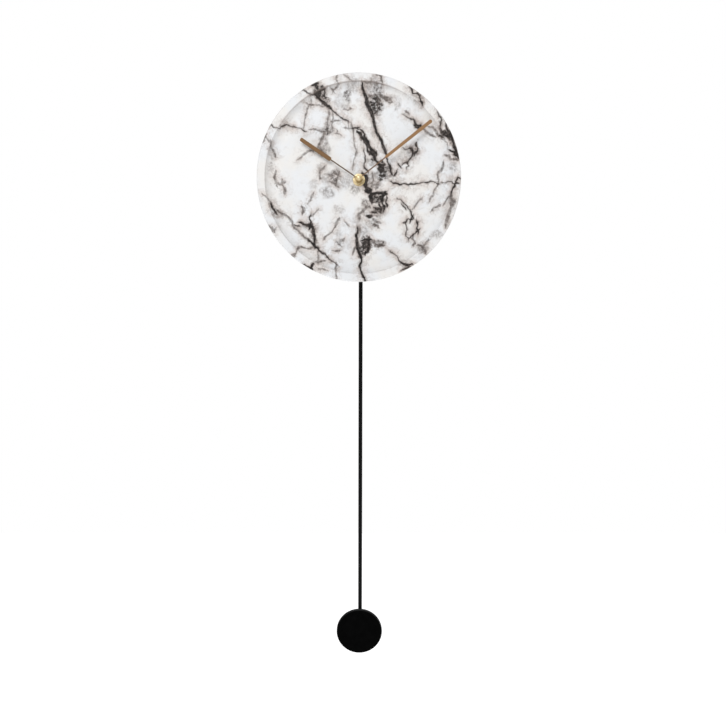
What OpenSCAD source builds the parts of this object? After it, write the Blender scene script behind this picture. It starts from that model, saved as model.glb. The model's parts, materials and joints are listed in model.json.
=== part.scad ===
// Pendulum wall clock: a dished round dial on a back frame, a battery movement
// with its gear train, and a long rod with a disc bob that swings behind the dial.
//
// World frame: origin at the hanging hole on the wall, +Z up, the wall is the plane y = 0
// and the clock faces -Y. Every piece is drawn in the clock's own drawing frame instead,
// X to the right, Y up from the dial centre and Z out of the wall, and on_clock() stands it up.

/* [Dial] */
// Outer diameter of the dished dial
dial_d = 245; // [244:1:256]
// Width of the flat rim
rim_w = 9.7; // [9:0.1:10.5]
// Radial width of the curved wall between the rim and the flat face
cove_w = 11.5; // [11:0.1:12.5]
// Depth of the flat face below the rim
dish_depth = 9; // [7:0.5:10]
// Wall thickness of the dish
dish_wall = 2.5; // [2:0.1:3]
// Length of the skirt behind the rim
skirt_len = 14; // [8:1:18]
// Distance from the wall to the front of the rim
rim_stand = 40; // [40:0.5:44]
// Height of the hanging hole above the dial centre
hang_rise = 98; // [96:1:98]

/* [Hands] */
// Length of the hour hand from its axis to its tip
hour_len = 84; // [60:0.5:90]
// Length of the minute hand from its axis to its tip
minute_len = 109.5; // [90:0.5:112]
// Angle of the hour hand at rest, clockwise from twelve
hour_angle = -56.2; // [-180:0.1:180]
// Angle of the minute hand at rest, clockwise from twelve
minute_angle = 52.1; // [-180:0.1:180]
// Radius at which the wire-thin stems widen into blades
blade_start = 40.5; // [30:0.5:50]
// Thickness of both hands
hand_t = 0.7; // [0.5:0.1:0.8]

/* [Pendulum] */
// Distance from the dial centre down to the bob centre
bob_drop = 582; // [400:1:700]
// Diameter of the bob
bob_d = 60; // [50:1:80]
// Thickness of the bob
bob_t = 4; // [3.5:0.5:6]
// Diameter of the rod
rod_d = 5; // [4:0.1:5]
// How far to the right of the dial centre the rod hangs at its hook
rod_offset = 2.1; // [0:0.1:2.4]
// How far to the right of the bob centre the rod meets the bob
rod_low_offset = 0.9; // [0:0.1:2]
// Swing to each side, in degrees
swing = 6; // [3:0.5:6]

/* [Movement] */
// Width of the movement case
case_w = 64; // [64:1:70]
// Height of the case above the hand axis
case_top = 30; // [30:1:36]
// Depth of the case below the hand axis
case_drop = 86; // [86:1:88]
// Wall thickness of the case
case_wall = 1.6; // [1.4:0.1:1.8]
// Distance from the hand axis down to the pendulum pivot
pivot_drop = 56; // [56:0.5:57]

/* [Hidden] */
$fn = 96;

// Small lift that keeps cutting tools clear of the faces they cut
eps = 0.5;

// Dial, in distances from the wall
dial_r = dial_d / 2;
face_z = rim_stand - dish_depth;
face_back = face_z - dish_wall;
flat_r = dial_r - rim_w - cove_w;
cove_r = (cove_w * cove_w + dish_depth * dish_depth) / (2 * dish_depth);
cove_lift = cove_r - dish_depth;
edge_r = 1.6;
boss_len = 4;
boss_r = 4;
boss_ring = flat_r - 5;
boss_count = 6;
boss_turn = 30;
pilot_r = 1.2;

// Back frame
frame_out = dial_r - 5.2;
frame_in = frame_out - 2.3;
ledge_r = boss_ring - 6;
ledge_z = face_back - boss_len;
ledge_t = 2.5;
lip_r = frame_out - 11.8;
lip_t = 3;
tongue_w = 40;
tongue_bottom = hang_rise - 12;
rib_t = 2;
screw_head_r = 3;
screw_head_t = 1.8;
head_sink = 1;
pad_r = 4.5;
pad_t = 1;
pad_ring = (lip_r + frame_out) / 2;

// Hanger plate
plate_w = 34;
plate_h = 25;
plate_t = 1.5;
keyhole_r = 4.5;
keyhole_slot_r = 2.1;
keyhole_rise = 7;
plate_below = 11;
plate_low = hang_rise - plate_below;
plate_screw_x = 13;
plate_screw_y = hang_rise + 1;
plate_screw_r = 1.2;
window_x = 9;
window_below = 7;
window_above = 11;
screw_clear = 0.3;

// Movement case and cover
case_front = face_back - 1;
cover_back = 10.5;
cover_t = 1.5;
cover_front = cover_back + cover_t;
front_plate = case_front - case_wall;
corner_r = 6;
post_x = case_w / 2 - 5;
post_ys = [case_top - 5, 5 - case_drop];
post_r = 2.6;
post_screw_r = 0.9;
post_screw_len = 8;
pivot_end = cover_front + 5;
pivot_boss_r = 3;
board_low = [3, -28.5];
board_high = [29, -13];
board_back = cover_front + 1.4;
board_t = 1;
board_posts = [[6, -26], [26, -16]];
bay_low = -47.5;
bay_high = -31.5;
bay_end = 27.4;
bay_wall = 1.5;

// Centre of the hands
thread_r = 4;
bushing_bore = 2.65;
hour_tube_r = 2.55;
hour_tube_bore = 1.85;
minute_arbor_r = 1.75;
minute_seat_r = 1.4;
nut_across = 12;
nut_t = 2.4;
washer_t = 0.6;
bushing_end = face_z + 4;
hour_hand_z = bushing_end + 1.9;
minute_hand_z = rim_stand + 0.9;

// Gears: module, and tooth sizes as shares of the module or of the pitch
motion_m = 0.5;
train_m = 0.35;
step_m = 0.3;
addendum = 0.8;
dedendum = 1.2;
tooth_share = 0.42;
cannon_teeth = 10;
motion_teeth = 30;
motion_pinion_teeth = 8;
hour_teeth = 32;
knob_teeth = 10;
centre_teeth = 48;
third_pinion_teeth = 6;
third_teeth = 45;
second_pinion_teeth = 6;
second_teeth = 40;
step_pinion_teeth = 8;
step_teeth = 48;
rotor_teeth = 8;
pivot_r = 0.5;
pivot_hole_r = 0.55;
pivot_depth = 0.9;
arbor_back = cover_front - 0.7;
arbor_front = front_plate + 0.7;
wheel_t = 0.9;
pinion_reach = 0.3;
hub_r = 0.8;
knob_stem_r = 1.25;
hour_z = front_plate - 3;
motion_z = front_plate - 5;
step_z = front_plate - 6.6;
centre_z = front_plate - 7.3;
third_z = front_plate - 9.1;
second_z = front_plate - 11;

// Bearings from one gear's axis to the next, counterclockwise from +X
motion_bearing = 45;
knob_bearing = 20;
third_bearing = 150;
second_bearing = 250;
step_bearing = 195;
rotor_bearing = -55;

// Axes of the gears, each one mesh distance from the last
centre_at = [0, 0];
motion_at = step_from(centre_at, motion_bearing, motion_m, cannon_teeth, motion_teeth);
knob_at = step_from(motion_at, knob_bearing, motion_m, motion_teeth, knob_teeth);
third_at = step_from(centre_at, third_bearing, train_m, centre_teeth, third_pinion_teeth);
second_at = step_from(third_at, second_bearing, train_m, third_teeth, second_pinion_teeth);
step_at = step_from(second_at, step_bearing, train_m, second_teeth, step_pinion_teeth);
rotor_at = step_from(step_at, rotor_bearing, step_m, step_teeth, rotor_teeth);

// Turn of each gear at rest that puts it in mesh with its neighbour
motion_turn = mesh_turn(motion_bearing, 0, cannon_teeth, motion_teeth);
hour_turn = mesh_turn(motion_bearing + 180, 0, motion_pinion_teeth, hour_teeth);
knob_turn = mesh_turn(knob_bearing, motion_turn, motion_teeth, knob_teeth);
third_turn = mesh_turn(third_bearing, 0, centre_teeth, third_pinion_teeth);
second_turn = mesh_turn(second_bearing, 0, third_teeth, second_pinion_teeth);
step_turn = mesh_turn(step_bearing, 0, second_teeth, step_pinion_teeth);
rotor_turn = mesh_turn(rotor_bearing, 0, step_teeth, rotor_teeth);

// Stepping motor
stator_left = -29;
stator_right = -3;
stator_leg = 4;
stator_z = front_plate - 4;
stator_t = 0.8;
magnet_r = 2.3;
magnet_t = 2.4;
core_at = -22.5;
core_w = 3;

// Battery, lying across the case
battery_r = 7.25;
battery_y = (bay_low + bay_high) / 2;
battery_z = 18.2;
contact_x = bay_end - 1;
nub_len = 1.5;
battery_end = contact_x - nub_len;
battery_start = battery_end - 48.5;

// Pendulum
pivot_at = [0, -pivot_drop];
coil_at = [0, -72];
coil_magnet_r = 4.5;
arm_back = 7.2;
arm_t = 2.2;
peg_at = [0, -92];
peg_r = 1.2;
pin_r = 0.75;
rod_z = 10.6;
hook_t = 1.2;
hook_r = 3.4;
sleeve_drop = 6 - peg_at.y;
sleeve_top = -sleeve_drop;
sleeve_len = 14;
sleeve_r = rod_d / 2 + 0.7;
rod_gap = 2;
bob_at = [0, -bob_drop];
bob_back = rod_z + rod_d / 2 + 0.4;
bob_edge_r = 1;
rod_end = bob_at.y - 17;
clip_w = 12;
clip_ear_x = 9;
ear_r = 3;
ear_t = 2;
ear_screw_r = 1;
rod_lean = atan((rod_offset - rod_low_offset) / (bob_drop - sleeve_drop));
slot_half = (frame_out - pivot_drop) * tan(swing) + rod_d / 2 + rod_offset + 2.6;
slot_top_z = 19;

// Distance between the axes of two gears in mesh, laid off at a bearing from a first axis
function step_from(from, bearing, m, teeth_a, teeth_b) =
    from + m * (teeth_a + teeth_b) / 2 * [cos(bearing), sin(bearing)];

// Turn of gear b that puts its gap on the tooth of gear a, which lies at the given bearing from it
function mesh_turn(bearing, turn_a, teeth_a, teeth_b) =
    bearing + 180 - 180 / teeth_b + (bearing - turn_a) * teeth_a / teeth_b;

// Points of an arc in the drawing plane
function arc(centre, r, from, to, steps) =
    [for (i = [0:steps]) centre + r * [cos(from + (to - from) * i / steps), sin(from + (to - from) * i / steps)]];

// Stands a piece that is drawn on the wall plane upright in the world frame
module on_clock() {
    translate([0, 0, -hang_rise])
        rotate([90, 0, 0])
            children();
}

// Round bar along the wall's normal
module post(at, from, to, r) {
    translate([at.x, at.y, from])
        cylinder(r = r, h = to - from);
}

// Ring along the wall's normal
module ring(at, from, to, r_out, r_in) {
    difference() {
        post(at, from, to, r_out);
        post(at, from - eps, to + eps, r_in);
    }
}

// Block given by its lower and upper corners
module block(low, high) {
    translate(low)
        cube(high - low);
}

// Plate with round corners, given by its lower and upper corners
module round_plate(low, high, r) {
    block([low.x + r, low.y, low.z], [high.x - r, high.y, high.z]);
    block([low.x, low.y + r, low.z], [high.x, high.y - r, high.z]);
    for (x = [low.x + r, high.x - r], y = [low.y + r, high.y - r])
        post([x, y], low.z, high.z, r);
}

// Pan-head screw with a cross recess in its head, which faces the wall
module pan_screw(at, head_z, head_r, head_t, shank_r, shank_len) {
    difference() {
        post(at, head_z, head_z + head_t, head_r);
        for (turn = [0, 90])
            translate([at.x, at.y, head_z])
                rotate([0, 0, turn])
                    cube([head_r * 1.1, head_r * 0.25, head_t], center = true);
    }
    post(at, head_z + head_t, head_z + head_t + shank_len, shank_r);
}

// Spur gear with tapered stub teeth, one tooth pointing along the given turn
module gear(at, from, to, teeth, m, turn) {
    pitch_r = m * teeth / 2;
    root_r = pitch_r - dedendum * m;
    tip_r = pitch_r + addendum * m;
    half = tooth_share * 180 / teeth;
    root_half = half * 1.15;
    tip_half = half * 0.5;
    outline = [
        for (i = [0:teeth - 1])
            let (a = turn + i * 360 / teeth)
                each [
                    root_r * [cos(a - root_half), sin(a - root_half)],
                    tip_r * [cos(a - tip_half), sin(a - tip_half)],
                    tip_r * [cos(a + tip_half), sin(a + tip_half)],
                    root_r * [cos(a + root_half), sin(a + root_half)]
                ]
    ];
    translate([at.x, at.y, from])
        linear_extrude(to - from)
            polygon(outline);
}

// Thin arbor between the cover and the front plate of the case
module arbor(at) {
    post(at, arbor_back, arbor_front, pivot_r);
}

// Wheel and pinion moulded as one on an arbor; the pinion reaches past the wheel that drives it
module compound_wheel(at, wheel_z, teeth, m, turn, pinion_z, pinion_teeth, pinion_m, pinion_turn) {
    pinion_back = pinion_z - pinion_reach;
    pinion_front = pinion_z + wheel_t + pinion_reach;
    arbor(at);
    gear(at, wheel_z, wheel_z + wheel_t, teeth, m, turn);
    gear(at, pinion_back, pinion_front, pinion_teeth, pinion_m, pinion_turn);
    if (wheel_z < pinion_z)
        post(at, wheel_z + wheel_t - 0.1, pinion_back + 0.1, hub_r);
    else
        post(at, pinion_front - 0.1, wheel_z + 0.1, hub_r);
}

// Flat hand: a thin stem, then a blade with a round tip
module hand(length, turn, back, hub_r, bore_r, stem_w, blade_w, tip_w) {
    tip_at = length - tip_w / 2;
    rotate([0, 0, -turn])
        difference() {
            union() {
                post([0, 0], back, back + hand_t, hub_r);
                block([-stem_w / 2, 0, back], [stem_w / 2, blade_start + 1, back + hand_t]);
                translate([0, 0, back])
                    linear_extrude(hand_t)
                        polygon([
                            [-blade_w / 2, blade_start],
                            [blade_w / 2, blade_start],
                            [tip_w / 2, tip_at],
                            [-tip_w / 2, tip_at]
                        ]);
                post([0, tip_at], back, back + hand_t, tip_w / 2);
            }
            post([0, 0], back - eps, back + hand_t + eps, bore_r);
        }
}

module dial_dish() {
    under_z = rim_stand - dish_wall;
    back_r = cove_r + dish_wall;
    back_angle = asin((cove_lift + dish_wall) / back_r);
    cove_at = [flat_r, face_z + cove_r];
    profile = concat(
        [[thread_r + 0.1, face_z]],
        arc(cove_at, cove_r, -90, -atan2(cove_lift, cove_w), 12),
        arc([dial_r - edge_r, rim_stand - edge_r], edge_r, 90, 0, 5),
        [
            [dial_r, rim_stand - skirt_len],
            [dial_r - dish_wall, rim_stand - skirt_len],
            [dial_r - dish_wall, under_z]
        ],
        arc(cove_at, back_r, -back_angle, -90, 10),
        [[thread_r + 0.1, face_back]]
    );
    color("whitesmoke")
        on_clock()
            difference() {
                union() {
                    rotate_extrude()
                        polygon(profile);
                    for (i = [0:boss_count - 1])
                        rotate([0, 0, boss_turn + i * 360 / boss_count])
                            post([boss_ring, 0], ledge_z, face_back + 0.1, boss_r);
                }
                for (i = [0:boss_count - 1])
                    rotate([0, 0, boss_turn + i * 360 / boss_count])
                        post([boss_ring, 0], ledge_z - eps, ledge_z + 5, pilot_r);
            }
}

module back_frame() {
    color([0.12, 0.12, 0.12])
        on_clock()
            difference() {
                union() {
                    rotate_extrude()
                        polygon([
                            [lip_r, 0], [frame_out, 0],
                            [frame_out, rim_stand - dish_wall], [frame_in, rim_stand - dish_wall],
                            [frame_in, ledge_z], [ledge_r, ledge_z],
                            [ledge_r, ledge_z - ledge_t], [frame_in, ledge_z - ledge_t],
                            [frame_in, lip_t], [lip_r, lip_t]
                        ]);
                    intersection() {
                        hanger_tongue();
                        post([0, 0], 0, ledge_z, (frame_in + frame_out) / 2);
                    }
                }
                frame_screw_holes();
                for (turn = [45:90:315])
                    rotate([0, 0, turn])
                        post([pad_ring, 0], -eps, pad_t, pad_r);
                // Opening through which the pendulum rod hangs and swings
                block([-slot_half, -frame_out - 1, lip_t], [slot_half, 2 - frame_in, slot_top_z]);
                // Seat of the hanger plate, and the window behind its keyhole
                block([-plate_w / 2, plate_low, -eps], [plate_w / 2, plate_low + plate_h, plate_t]);
                block([-window_x, hang_rise - window_below, -eps],
                    [window_x, hang_rise + window_above, lip_t + eps]);
                for (x = [-plate_screw_x, plate_screw_x])
                    post([x, plate_screw_y], 0, lip_t + eps, plate_screw_r + 0.1);
            }
}

// Shelf that carries the hanger plate, tied to the ledge by two ribs
module hanger_tongue() {
    block([-tongue_w / 2, tongue_bottom, 0], [tongue_w / 2, frame_out, lip_t]);
    for (x = [-tongue_w / 2, tongue_w / 2 - rib_t])
        block([x, ledge_r, 0], [x + rib_t, frame_out, ledge_z - ledge_t + 0.1]);
}

module frame_screw_holes() {
    for (i = [0:boss_count - 1])
        rotate([0, 0, boss_turn + i * 360 / boss_count]) {
            post([boss_ring, 0], ledge_z - ledge_t - eps, ledge_z + eps, pilot_r + screw_clear);
            post([boss_ring, 0], ledge_z - ledge_t - eps, ledge_z - ledge_t + head_sink,
                screw_head_r + 0.2);
        }
}

module frame_screws() {
    color("silver")
        on_clock()
            for (i = [0:boss_count - 1])
                rotate([0, 0, boss_turn + i * 360 / boss_count])
                    pan_screw([boss_ring, 0], ledge_z - ledge_t + head_sink - screw_head_t,
                        screw_head_r, screw_head_t, pilot_r, 6);
}

module hanger_plate() {
    color("silver")
        on_clock()
            difference() {
                block([-plate_w / 2, plate_low, 0], [plate_w / 2, plate_low + plate_h, plate_t]);
                post([0, hang_rise], -eps, plate_t + eps, keyhole_r);
                block([-keyhole_slot_r, hang_rise, -eps],
                    [keyhole_slot_r, hang_rise + keyhole_rise, plate_t + eps]);
                post([0, hang_rise + keyhole_rise], -eps, plate_t + eps, keyhole_slot_r);
                for (x = [-plate_screw_x, plate_screw_x])
                    post([x, plate_screw_y], -eps, plate_t + eps, plate_screw_r);
            }
}

module hanger_screws() {
    head_r = 2.4;
    head_t = 1.6;
    slot_half_w = 0.35;
    slot_depth = 0.7;
    color("dimgray")
        on_clock()
            for (x = [-plate_screw_x, plate_screw_x]) {
                difference() {
                    post([x, plate_screw_y], lip_t, lip_t + head_t, head_r);
                    block([x - 1.8, plate_screw_y - slot_half_w, lip_t + head_t - slot_depth],
                        [x + 1.8, plate_screw_y + slot_half_w, lip_t + head_t + eps]);
                }
                post([x, plate_screw_y], 0.2, lip_t, plate_screw_r);
            }
}

module wall_pads() {
    color("gray")
        on_clock()
            for (turn = [45:90:315])
                rotate([0, 0, turn])
                    post([pad_ring, 0], 0, pad_t, pad_r);
}

module movement_case() {
    half = case_w / 2;
    inner = half - case_wall;
    color([0.16, 0.16, 0.17])
        on_clock()
            difference() {
                union() {
                    difference() {
                        round_plate([-half, -case_drop, cover_front], [half, case_top, case_front], corner_r);
                        round_plate([-inner, case_wall - case_drop, cover_front - eps],
                            [inner, case_top - case_wall, front_plate], corner_r - case_wall);
                    }
                    for (y = [bay_low - bay_wall, bay_high])
                        block([-inner - 0.1, y, cover_front], [inner + 0.1, y + bay_wall, front_plate + 0.1]);
                    for (x = [-bay_end - bay_wall, bay_end])
                        block([x, bay_low - 0.1, cover_front], [x + bay_wall, bay_high + 0.1, front_plate + 0.1]);
                    for (x = [-post_x, post_x], y = post_ys)
                        post([x, y], cover_front, front_plate + 0.1, post_r);
                }
                post([0, 0], front_plate - eps, case_front + eps, thread_r + 0.05);
                for (at = [motion_at, knob_at, third_at, second_at, step_at, rotor_at])
                    post(at, front_plate - eps, front_plate + pivot_depth, pivot_hole_r);
                for (x = [-post_x, post_x], y = post_ys)
                    post([x, y], cover_front - eps, cover_front + post_screw_len, post_screw_r);
            }
}

module movement_cover() {
    half = case_w / 2;
    color([0.14, 0.14, 0.15])
        on_clock()
            difference() {
                union() {
                    round_plate([-half, -case_drop, cover_back], [half, case_top, cover_front], corner_r);
                    post(pivot_at, cover_front - 0.1, pivot_end, pivot_boss_r);
                    for (at = board_posts)
                        post(at, cover_front - 0.1, board_back, 1.5);
                }
                block([-bay_end, bay_low, cover_back - eps], [bay_end, bay_high, cover_front + eps]);
                post(knob_at, cover_back - eps, cover_front + eps, knob_stem_r + 0.1);
                for (at = [centre_at, motion_at, third_at, second_at, step_at, rotor_at])
                    post(at, cover_front - pivot_depth, cover_front + eps, pivot_hole_r);
                post(pivot_at, cover_back - eps, pivot_end + eps, pin_r);
                for (x = [-post_x, post_x], y = post_ys)
                    post([x, y], cover_back - eps, cover_front + eps, post_screw_r + 0.2);
            }
}

module cover_screws() {
    color("silver")
        on_clock()
            for (x = [-post_x, post_x], y = post_ys)
                pan_screw([x, y], cover_back - 1.2, 1.9, 1.2, post_screw_r, post_screw_len);
}

module centre_bushing() {
    color("goldenrod")
        on_clock() {
            ring(centre_at, front_plate - 1, front_plate, 6, bushing_bore);
            ring(centre_at, front_plate - 0.1, bushing_end, thread_r, bushing_bore);
        }
}

module rubber_washer() {
    color([0.1, 0.1, 0.1])
        on_clock()
            ring(centre_at, case_front, face_back, 8, thread_r + 0.1);
}

module brass_washer() {
    color("gold")
        on_clock()
            ring(centre_at, face_z, face_z + washer_t, 7.4, thread_r + 0.1);
}

module hex_nut() {
    color("gold")
        on_clock()
            difference() {
                translate([0, 0, face_z + washer_t])
                    cylinder(r = nut_across / 2 / cos(30), h = nut_t, $fn = 6);
                post(centre_at, face_z, bushing_end, thread_r + 0.05);
            }
}

module centre_wheel() {
    cannon_back = motion_z - pinion_reach;
    cannon_front = motion_z + wheel_t + pinion_reach;
    color("ivory")
        on_clock() {
            post(centre_at, arbor_back, cover_front + 1, pivot_r);
            post(centre_at, cover_front + 0.5, cannon_back + 0.1, 0.9);
            gear(centre_at, centre_z, centre_z + wheel_t, centre_teeth, train_m, 0);
            gear(centre_at, cannon_back, cannon_front, cannon_teeth, motion_m, 0);
            post(centre_at, cannon_front - 0.1, minute_hand_z, minute_arbor_r);
            post(centre_at, minute_hand_z - 0.1, minute_hand_z + 2.2, minute_seat_r);
        }
}

module motion_wheel() {
    color("ivory")
        on_clock()
            compound_wheel(motion_at, motion_z, motion_teeth, motion_m, motion_turn,
                hour_z, motion_pinion_teeth, motion_m, 0);
}

module hour_wheel() {
    color("ivory")
        on_clock()
            difference() {
                union() {
                    gear(centre_at, hour_z, hour_z + wheel_t, hour_teeth, motion_m, hour_turn);
                    post(centre_at, hour_z + 0.1, hour_hand_z + hand_t + 0.3, hour_tube_r);
                }
                post(centre_at, hour_z - eps, rim_stand, hour_tube_bore);
            }
}

module setting_knob() {
    knob_r = 6.5;
    knob_back = cover_back - 3.8;
    knob_front = cover_back - 0.7;
    flutes = 24;
    slot_size = [8, 1.2, 1.6];
    stem_front = motion_z - pinion_reach;
    color("lightgray")
        on_clock() {
            difference() {
                post(knob_at, knob_back, knob_front, knob_r);
                for (i = [0:flutes - 1])
                    translate([knob_at.x, knob_at.y, 0])
                        rotate([0, 0, i * 360 / flutes])
                            post([knob_r + 0.25, 0], knob_back - eps, knob_front + eps, 0.55);
                translate([knob_at.x, knob_at.y, knob_back])
                    cube(slot_size, center = true);
            }
            post(knob_at, knob_front - 0.1, stem_front + 0.1, knob_stem_r);
            gear(knob_at, stem_front, motion_z + wheel_t + pinion_reach, knob_teeth, motion_m, knob_turn);
            post(knob_at, stem_front, arbor_front, pivot_r);
        }
}

module third_wheel() {
    color("ivory")
        on_clock()
            compound_wheel(third_at, third_z, third_teeth, train_m, 0,
                centre_z, third_pinion_teeth, train_m, third_turn);
}

module second_wheel() {
    color("white")
        on_clock()
            compound_wheel(second_at, second_z, second_teeth, train_m, 0,
                third_z, second_pinion_teeth, train_m, second_turn);
}

module step_wheel() {
    color("white")
        on_clock()
            compound_wheel(step_at, step_z, step_teeth, step_m, 0,
                second_z, step_pinion_teeth, train_m, step_turn);
}

module motor_rotor() {
    pinion_front = step_z + wheel_t + pinion_reach;
    magnet_z = stator_z + stator_t / 2 - magnet_t / 2;
    color("darkslategray")
        on_clock() {
            arbor(rotor_at);
            gear(rotor_at, step_z - pinion_reach, pinion_front, rotor_teeth, step_m, rotor_turn);
            post(rotor_at, magnet_z, magnet_z + magnet_t, magnet_r);
            post(rotor_at, pinion_front - 0.1, magnet_z + 0.1, hub_r);
        }
}

module motor_stator() {
    bar_low = rotor_at.y - 4;
    color("lightslategray")
        on_clock()
            difference() {
                union() {
                    block([stator_left, bar_low, stator_z],
                        [stator_right, rotor_at.y + 4, stator_z + stator_t]);
                    block([stator_left, core_at - core_w / 2, stator_z],
                        [stator_right, core_at + core_w / 2, stator_z + stator_t]);
                    for (x = [stator_left, stator_right - stator_leg])
                        block([x, core_at, stator_z], [x + stator_leg, bar_low + 1, stator_z + stator_t]);
                }
                post(rotor_at, stator_z - eps, stator_z + stator_t + eps, magnet_r + 0.5);
            }
}

module motor_coil() {
    left = stator_left + stator_leg + 0.1;
    right = stator_right - stator_leg - 0.1;
    core_z = stator_z + stator_t / 2;
    wire_r = 3;
    flange_r = 3.3;
    flange_t = 0.8;
    color("chocolate")
        on_clock()
            difference() {
                translate([left, core_at, core_z])
                    rotate([0, 90, 0]) {
                        cylinder(r = wire_r, h = right - left);
                        cylinder(r = flange_r, h = flange_t);
                        translate([0, 0, right - left - flange_t])
                            cylinder(r = flange_r, h = flange_t);
                    }
                block([left - eps, core_at - core_w / 2 - 0.05, stator_z - 0.05],
                    [right + eps, core_at + core_w / 2 + 0.05, stator_z + stator_t + 0.05]);
            }
}

module circuit_board() {
    color("darkgreen")
        on_clock()
            block([board_low.x, board_low.y, board_back], [board_high.x, board_high.y, board_back + board_t]);
}

module quartz_crystal() {
    can_r = 1.5;
    can_len = 8;
    color("silver")
        on_clock()
            translate([board_low.x + 6, -19, board_back + board_t + can_r])
                rotate([0, 90, 0])
                    cylinder(r = can_r, h = can_len);
}

module battery() {
    color([0.25, 0.27, 0.3])
        on_clock()
            translate([battery_start, battery_y, battery_z])
                rotate([0, 90, 0]) {
                    cylinder(r = battery_r, h = battery_end - battery_start);
                    cylinder(r = 2.75, h = battery_end - battery_start + nub_len);
                }
}

module battery_spring() {
    leaf_t = 0.4;
    low = battery_z - 5;
    high = battery_z + 5;
    color("silver")
        on_clock()
            translate([0, battery_y + 4, 0])
                rotate([90, 0, 0])
                    linear_extrude(8)
                        polygon([
                            [-bay_end, low], [-bay_end, high], [-contact_x - 0.5, high],
                            [battery_start, battery_z + 0.5], [battery_start, battery_z - 0.5],
                            [battery_start - leaf_t, battery_z - 0.5], [battery_start - leaf_t, battery_z],
                            [-contact_x - 0.6, high - 1.6], [-contact_x - 0.6, low]
                        ]);
}

module battery_contact() {
    color("silver")
        on_clock()
            block([contact_x, battery_y - 5, battery_z - 5], [bay_end, battery_y + 5, battery_z + 5]);
}

module drive_coil() {
    end = cover_front + 7.6;
    flange_r = 9;
    flange_t = 0.8;
    wire_r = 7.6;
    core_r = 2.5;
    color("chocolate")
        on_clock()
            difference() {
                union() {
                    post(coil_at, cover_front, end, wire_r);
                    post(coil_at, cover_front, cover_front + flange_t, flange_r);
                    post(coil_at, end - flange_t, end, flange_r);
                }
                post(coil_at, cover_front - eps, end + eps, core_r);
            }
}

module pivot_pin() {
    color("silver")
        on_clock() {
            post(pivot_at, arm_back - 1.9, arm_back - 0.9, 1.8);
            post(pivot_at, arm_back - 1, pivot_end, pin_r);
        }
}

module pendulum_arm() {
    front = arm_back + arm_t;
    hub_r_out = 3.6;
    ring_r = coil_magnet_r + 1.9;
    eye_r = 3.2;
    peg_cap_r = 2.1;
    color("white")
        on_clock()
            difference() {
                union() {
                    post(pivot_at, arm_back - 0.6, front + 0.7, hub_r_out);
                    translate([0, 0, arm_back])
                        linear_extrude(arm_t)
                            polygon([
                                [-2.8, pivot_at.y], [-2.2, peg_at.y],
                                [2.2, peg_at.y], [2.8, pivot_at.y]
                            ]);
                    post(coil_at, arm_back, front, ring_r);
                    post(peg_at, arm_back, front, eye_r);
                    post(peg_at, front - 0.1, front + 2.6, peg_r);
                    post(peg_at, front + 2, front + 2.8, peg_cap_r);
                }
                post(pivot_at, arm_back - 2, front + 2, pin_r + 0.05);
                post(coil_at, arm_back - eps, front + eps, coil_magnet_r);
            }
}

module arm_magnet() {
    color("dimgray")
        on_clock()
            post(coil_at, arm_back, arm_back + arm_t + 0.5, coil_magnet_r);
}

// Stands on the rod's axis, with +Z running down the rod from the top of the hook's sleeve
module down_the_rod() {
    translate([rod_offset, sleeve_top, rod_z])
        rotate([0, 0, -rod_lean])
            rotate([90, 0, 0])
                children();
}

// Eye plate that drops over the arm's peg, with the sleeve that holds the rod
module rod_hook() {
    eye_back = rod_z - hook_t / 2;
    color("silver")
        on_clock()
            difference() {
                union() {
                    translate([0, 0, eye_back])
                        linear_extrude(hook_t)
                            polygon([
                                [-hook_r, peg_at.y], [hook_r, peg_at.y],
                                [rod_offset + sleeve_r, sleeve_top], [rod_offset + sleeve_r, sleeve_top - 2],
                                [rod_offset - sleeve_r, sleeve_top - 2], [rod_offset - sleeve_r, sleeve_top]
                            ]);
                    post(peg_at, eye_back, eye_back + hook_t, hook_r);
                    down_the_rod()
                        cylinder(r = sleeve_r, h = sleeve_len);
                }
                post(peg_at, eye_back - eps, eye_back + hook_t + eps, peg_r + 0.05);
                down_the_rod()
                    translate([0, 0, rod_gap])
                        cylinder(r = rod_d / 2, h = sleeve_len);
            }
}

module pendulum_rod() {
    color([0.08, 0.08, 0.08])
        on_clock()
            down_the_rod()
                translate([0, 0, rod_gap])
                    cylinder(r = rod_d / 2, h = sleeve_top - rod_end - rod_gap);
}

module bob_disc() {
    r = bob_d / 2;
    inset = bob_edge_r;
    color([0.05, 0.05, 0.05])
        on_clock()
            translate([bob_at.x, bob_at.y, bob_back])
                difference() {
                    rotate_extrude()
                        polygon(concat(
                            [[0, 0], [r - 0.4, 0], [r, 0.4]],
                            arc([r - inset, bob_t - inset], inset, 0, 90, 5),
                            [[0, bob_t]]
                        ));
                    for (x = [-clip_ear_x, clip_ear_x])
                        post([x, 0], -eps, 2.6, ear_screw_r);
                }
}

module bob_clip() {
    back = rod_z - rod_d / 2 - 1.2;
    color([0.1, 0.1, 0.1])
        on_clock()
            difference() {
                union() {
                    block([-clip_w / 2, bob_at.y - 13, back], [clip_w / 2, bob_at.y + 11, bob_back]);
                    block([-clip_ear_x, bob_at.y - ear_r, bob_back - ear_t],
                        [clip_ear_x, bob_at.y + ear_r, bob_back]);
                    for (x = [-clip_ear_x, clip_ear_x])
                        post([x, bob_at.y], bob_back - ear_t, bob_back, ear_r);
                }
                down_the_rod()
                    translate([0, 0, sleeve_top - bob_at.y - 12])
                        cylinder(r = rod_d / 2, h = 26);
                for (x = [-clip_ear_x, clip_ear_x])
                    post([x, bob_at.y], bob_back - ear_t - eps, bob_back + eps, ear_screw_r + 0.1);
            }
}

module clip_screws() {
    color("silver")
        on_clock()
            for (x = [-clip_ear_x, clip_ear_x])
                pan_screw([x, bob_at.y], bob_back - ear_t - 1.4, 2, 1.4, ear_screw_r, 4.4);
}

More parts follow.
